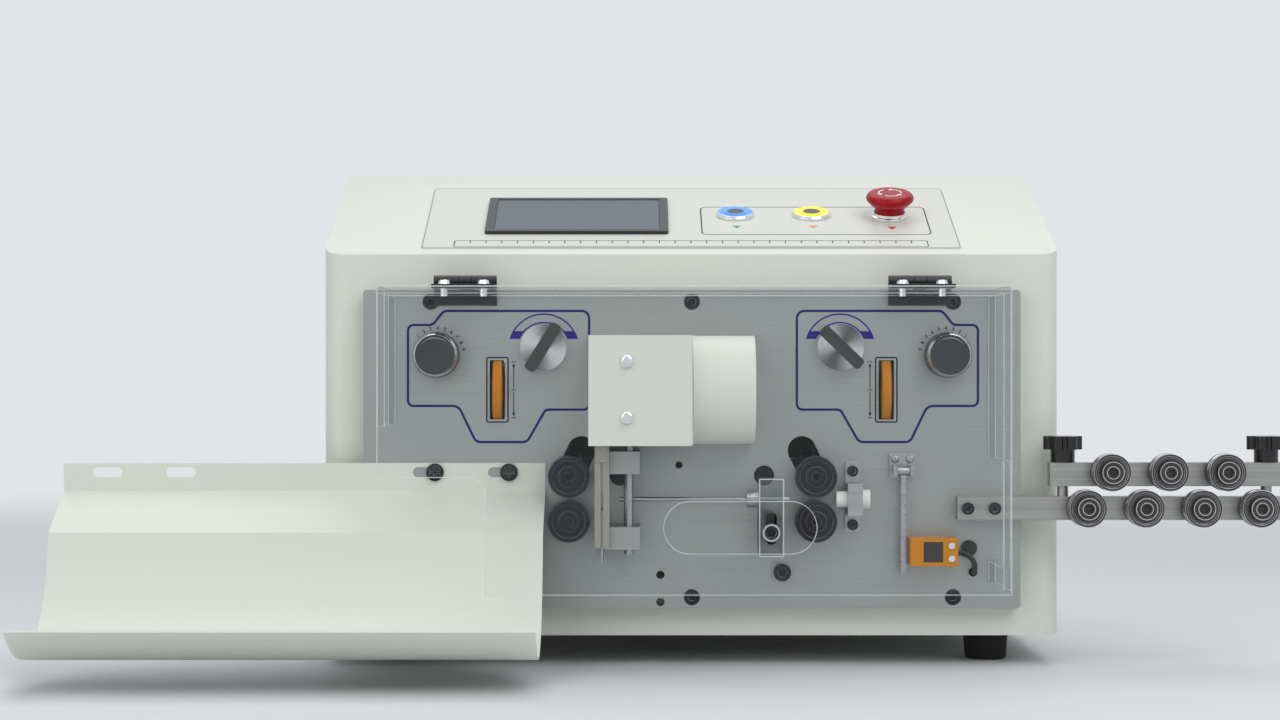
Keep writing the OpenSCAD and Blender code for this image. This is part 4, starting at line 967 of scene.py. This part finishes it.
for name, side in zip(hands, (-1, 1)):
    dialPrint(f"dial_figures_{name}", side)
    x, z = dial["at"][0] * side, dial["at"][1]
    long = knurl["to"] - knurl["from"]
    rim = plateFrame @ Matrix.Translation((x * mm, z * mm, (knurl["from"] + long / 2) * mm))
    repeated(f"knob_knurl_{name}", ringOfBars, rim, bodyOf(f"pressure_knob_{name}"),
             Count=knurl["count"], Radius=knurl["radius"] * mm, Start=0.0,
             Step=2 * math.pi / knurl["count"],
             Bar=Vector((*knurl["bar"], long)) * mm, Finish=darkSteel)
print("figures and knurls set")

# straight knurl on the feed rollers, round the shafts' axes
feedGrip = {"count": 44, "bar": (0.4, 0.7), "wide": 10.0, "bare": 0.5, "diameter": 22.0}
for level in levels:
    for name in hands:
        node = f"{level}_roller_{name}"
        axis = axisOf(f"{level}_feed_{name}")
        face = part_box(node)[0].y
        place = plateFrame.copy()
        place.col[3] = (axis.x, face + feedGrip["wide"] / 2 * mm, axis.z, 1)
        repeated(node + "_knurl", ringOfBars, place, bodyOf(node),
                 Count=feedGrip["count"], Radius=feedGrip["diameter"] / 2 * mm, Start=0.0,
                 Step=2 * math.pi / feedGrip["count"],
                 Bar=Vector((*feedGrip["bar"], feedGrip["wide"] - 2 * feedGrip["bare"])) * mm,
                 Finish=blackOxide)
print("feed rollers knurled")

# screws of the sensor, and the screws that hold the hinges to the clear cover
sensorScrew = {"foot": 2.3, "top": 1.7, "height": 1.2, "slot": (6, 0.7, 1.0), "turn": 0.7}
sensorScrews = {"fromRight": 3.5, "fromFoot": 4.0, "pitch": 7.0}
leafScrew = {"foot": 3.4, "top": 2.6, "height": 2.2, "slot": (8, 0.8, 1.2), "turn": 0.5}
leafShank = {"foot": 2.1, "top": 2.1, "height": 4.4, "slot": (5, 0.6, 0.6), "turn": 0.2}
leafScrews = {"x": (-122.2, 123), "y": -25, "above": 2.7, "below": 0.5, "apart": 21}
headSides = 28


def screwPair(name, place, body, start, pitch, screw):
    repeated(name, slottedHeads, place, body, Count=2, Start=Vector(start) * mm,
             Pitch=Vector(pitch) * mm, Sides=headSides, Foot=screw["foot"] * mm, Top=screw["top"] * mm,
             Height=screw["height"] * mm, Slot=Vector(screw["slot"]) * mm, Turn=screw["turn"],
             Finish=chromeMetal)


rowFoot = plateFrame.copy()
rowFoot.col[3] = (sensorHigh.x - sensorScrews["fromRight"] * mm, sensorLow.y,
                  sensorLow.z + sensorScrews["fromFoot"] * mm, 1)
screwPair("sensor_screws", rowFoot, bodyOf("sensor"), (0, 0, 0), (0, sensorScrews["pitch"], 0), sensorScrew)
plateTop = plateHigh.z / mm
pair = ((-leafScrews["apart"] / 2, 0, 0), (leafScrews["apart"], 0, 0))
turnedOver = Matrix.Rotation(math.pi, 4, "X")
for name, x in zip(hands, leafScrews["x"]):
    above = Matrix.Translation(spot(x, leafScrews["y"], plateTop + leafScrews["above"]))
    screwPair("leaf_screws_" + name, above, bodyOf("cover_leaves"), *pair, leafScrew)
    under = Matrix.Translation(spot(x, leafScrews["y"], plateTop + leafScrews["below"]))
    screwPair("leaf_shanks_" + name, under @ turnedOver, bodyOf("cover_leaves"), *pair, leafShank)
print("small screws set")

# pale floor that fades into the backdrop, soft lamps and an even sky
studio = {"floor": (226, 228, 231), "half": 8.0, "sky": (222, 225, 228), "skyLevel": 0.42,
          "fadeFrom": 0.75, "fadeTo": 2.2}
floorMesh = bpy.data.meshes.new("floor")
half = studio["half"]
floorMesh.from_pydata([(-half, -half, 0), (half, -half, 0), (half, half, 0), (-half, half, 0)],
                      [], [(0, 1, 2, 3)])
floor = bpy.data.objects.new("floor", floorMesh)
bpy.context.collection.objects.link(floor)
floorPaint = finish("floorPaint", studio["floor"], 0.6)
paint(floor, floorPaint)


# what the camera sees, straight or by way of metal and glass
def seenRay(tree):
    path = treeNode(tree, "ShaderNodeLightPath")
    seen = mathNode(tree, "MAXIMUM", path.outputs["Is Camera Ray"], path.outputs["Is Transmission Ray"])
    return mathNode(tree, "MAXIMUM", seen, path.outputs["Is Glossy Ray"])


# far floor shows the backdrop's tone, near floor keeps its shadow
tree = floorPaint.node_tree
where = treeNode(tree, "ShaderNodeTexCoord")
away = treeNode(tree, "ShaderNodeVectorMath", operation="LENGTH")
fade = treeNode(tree, "ShaderNodeMapRange", interpolation_type="SMOOTHSTEP")
fade.inputs["From Min"].default_value = studio["fadeFrom"]
fade.inputs["From Max"].default_value = studio["fadeTo"]
plainTone = treeNode(tree, "ShaderNodeEmission")
plainTone.inputs["Color"].default_value = (*linear(studio["floor"]), 1)
mixFloor = treeNode(tree, "ShaderNodeMixShader")
tree.links.new(where.outputs["Object"], away.inputs[0])
tree.links.new(away.outputs["Value"], fade.inputs["Value"])
tree.links.new(mathNode(tree, "MULTIPLY", fade.outputs["Result"], seenRay(tree)), mixFloor.inputs["Fac"])
tree.links.new(tree.nodes["Principled BSDF"].outputs[0], mixFloor.inputs[1])
tree.links.new(plainTone.outputs[0], mixFloor.inputs[2])
tree.links.new(mixFloor.outputs[0], tree.nodes["Material Output"].inputs["Surface"])

world = bpy.context.scene.world or bpy.data.worlds.new("sky")
bpy.context.scene.world = world
world.use_nodes = True
tree = world.node_tree
sky = tree.nodes["Background"]
sky.inputs["Color"].default_value = (*linear(studio["sky"]), 1)
sky.inputs["Strength"].default_value = studio["skyLevel"]
backdrop = treeNode(tree, "ShaderNodeBackground")
backdrop.inputs["Color"].default_value = (*linear(studio["floor"]), 1)
mixSky = treeNode(tree, "ShaderNodeMixShader")
tree.links.new(seenRay(tree), mixSky.inputs["Fac"])
tree.links.new(sky.outputs[0], mixSky.inputs[1])
tree.links.new(backdrop.outputs[0], mixSky.inputs[2])
tree.links.new(mixSky.outputs[0], tree.nodes["World Output"].inputs["Surface"])

lamps = {
    "keyLamp": {"at": (900, -1300, 1500), "aim": (0, 0, 120), "size": 1.4, "watts": 15},
    "fillLamp": {"at": (-1200, -1200, 900), "aim": (0, 0, 120), "size": 1.6, "watts": 7},
    "topLamp": {"at": (0, 300, 1700), "aim": (0, 60, 150), "size": 1.8, "watts": 13},
}
for name, lamp in lamps.items():
    data = bpy.data.lights.new(name, "AREA")
    data.energy = lamp["watts"]
    data.size = lamp["size"]
    hung = bpy.data.objects.new(name, data)
    bpy.context.collection.objects.link(hung)
    hung.location = spot(*lamp["at"])
    hung.rotation_euler = (spot(*lamp["aim"]) - hung.location).to_track_quat("-Z", "Y").to_euler()
bpy.context.scene.view_settings.view_transform = "Standard"
print("studio lit")
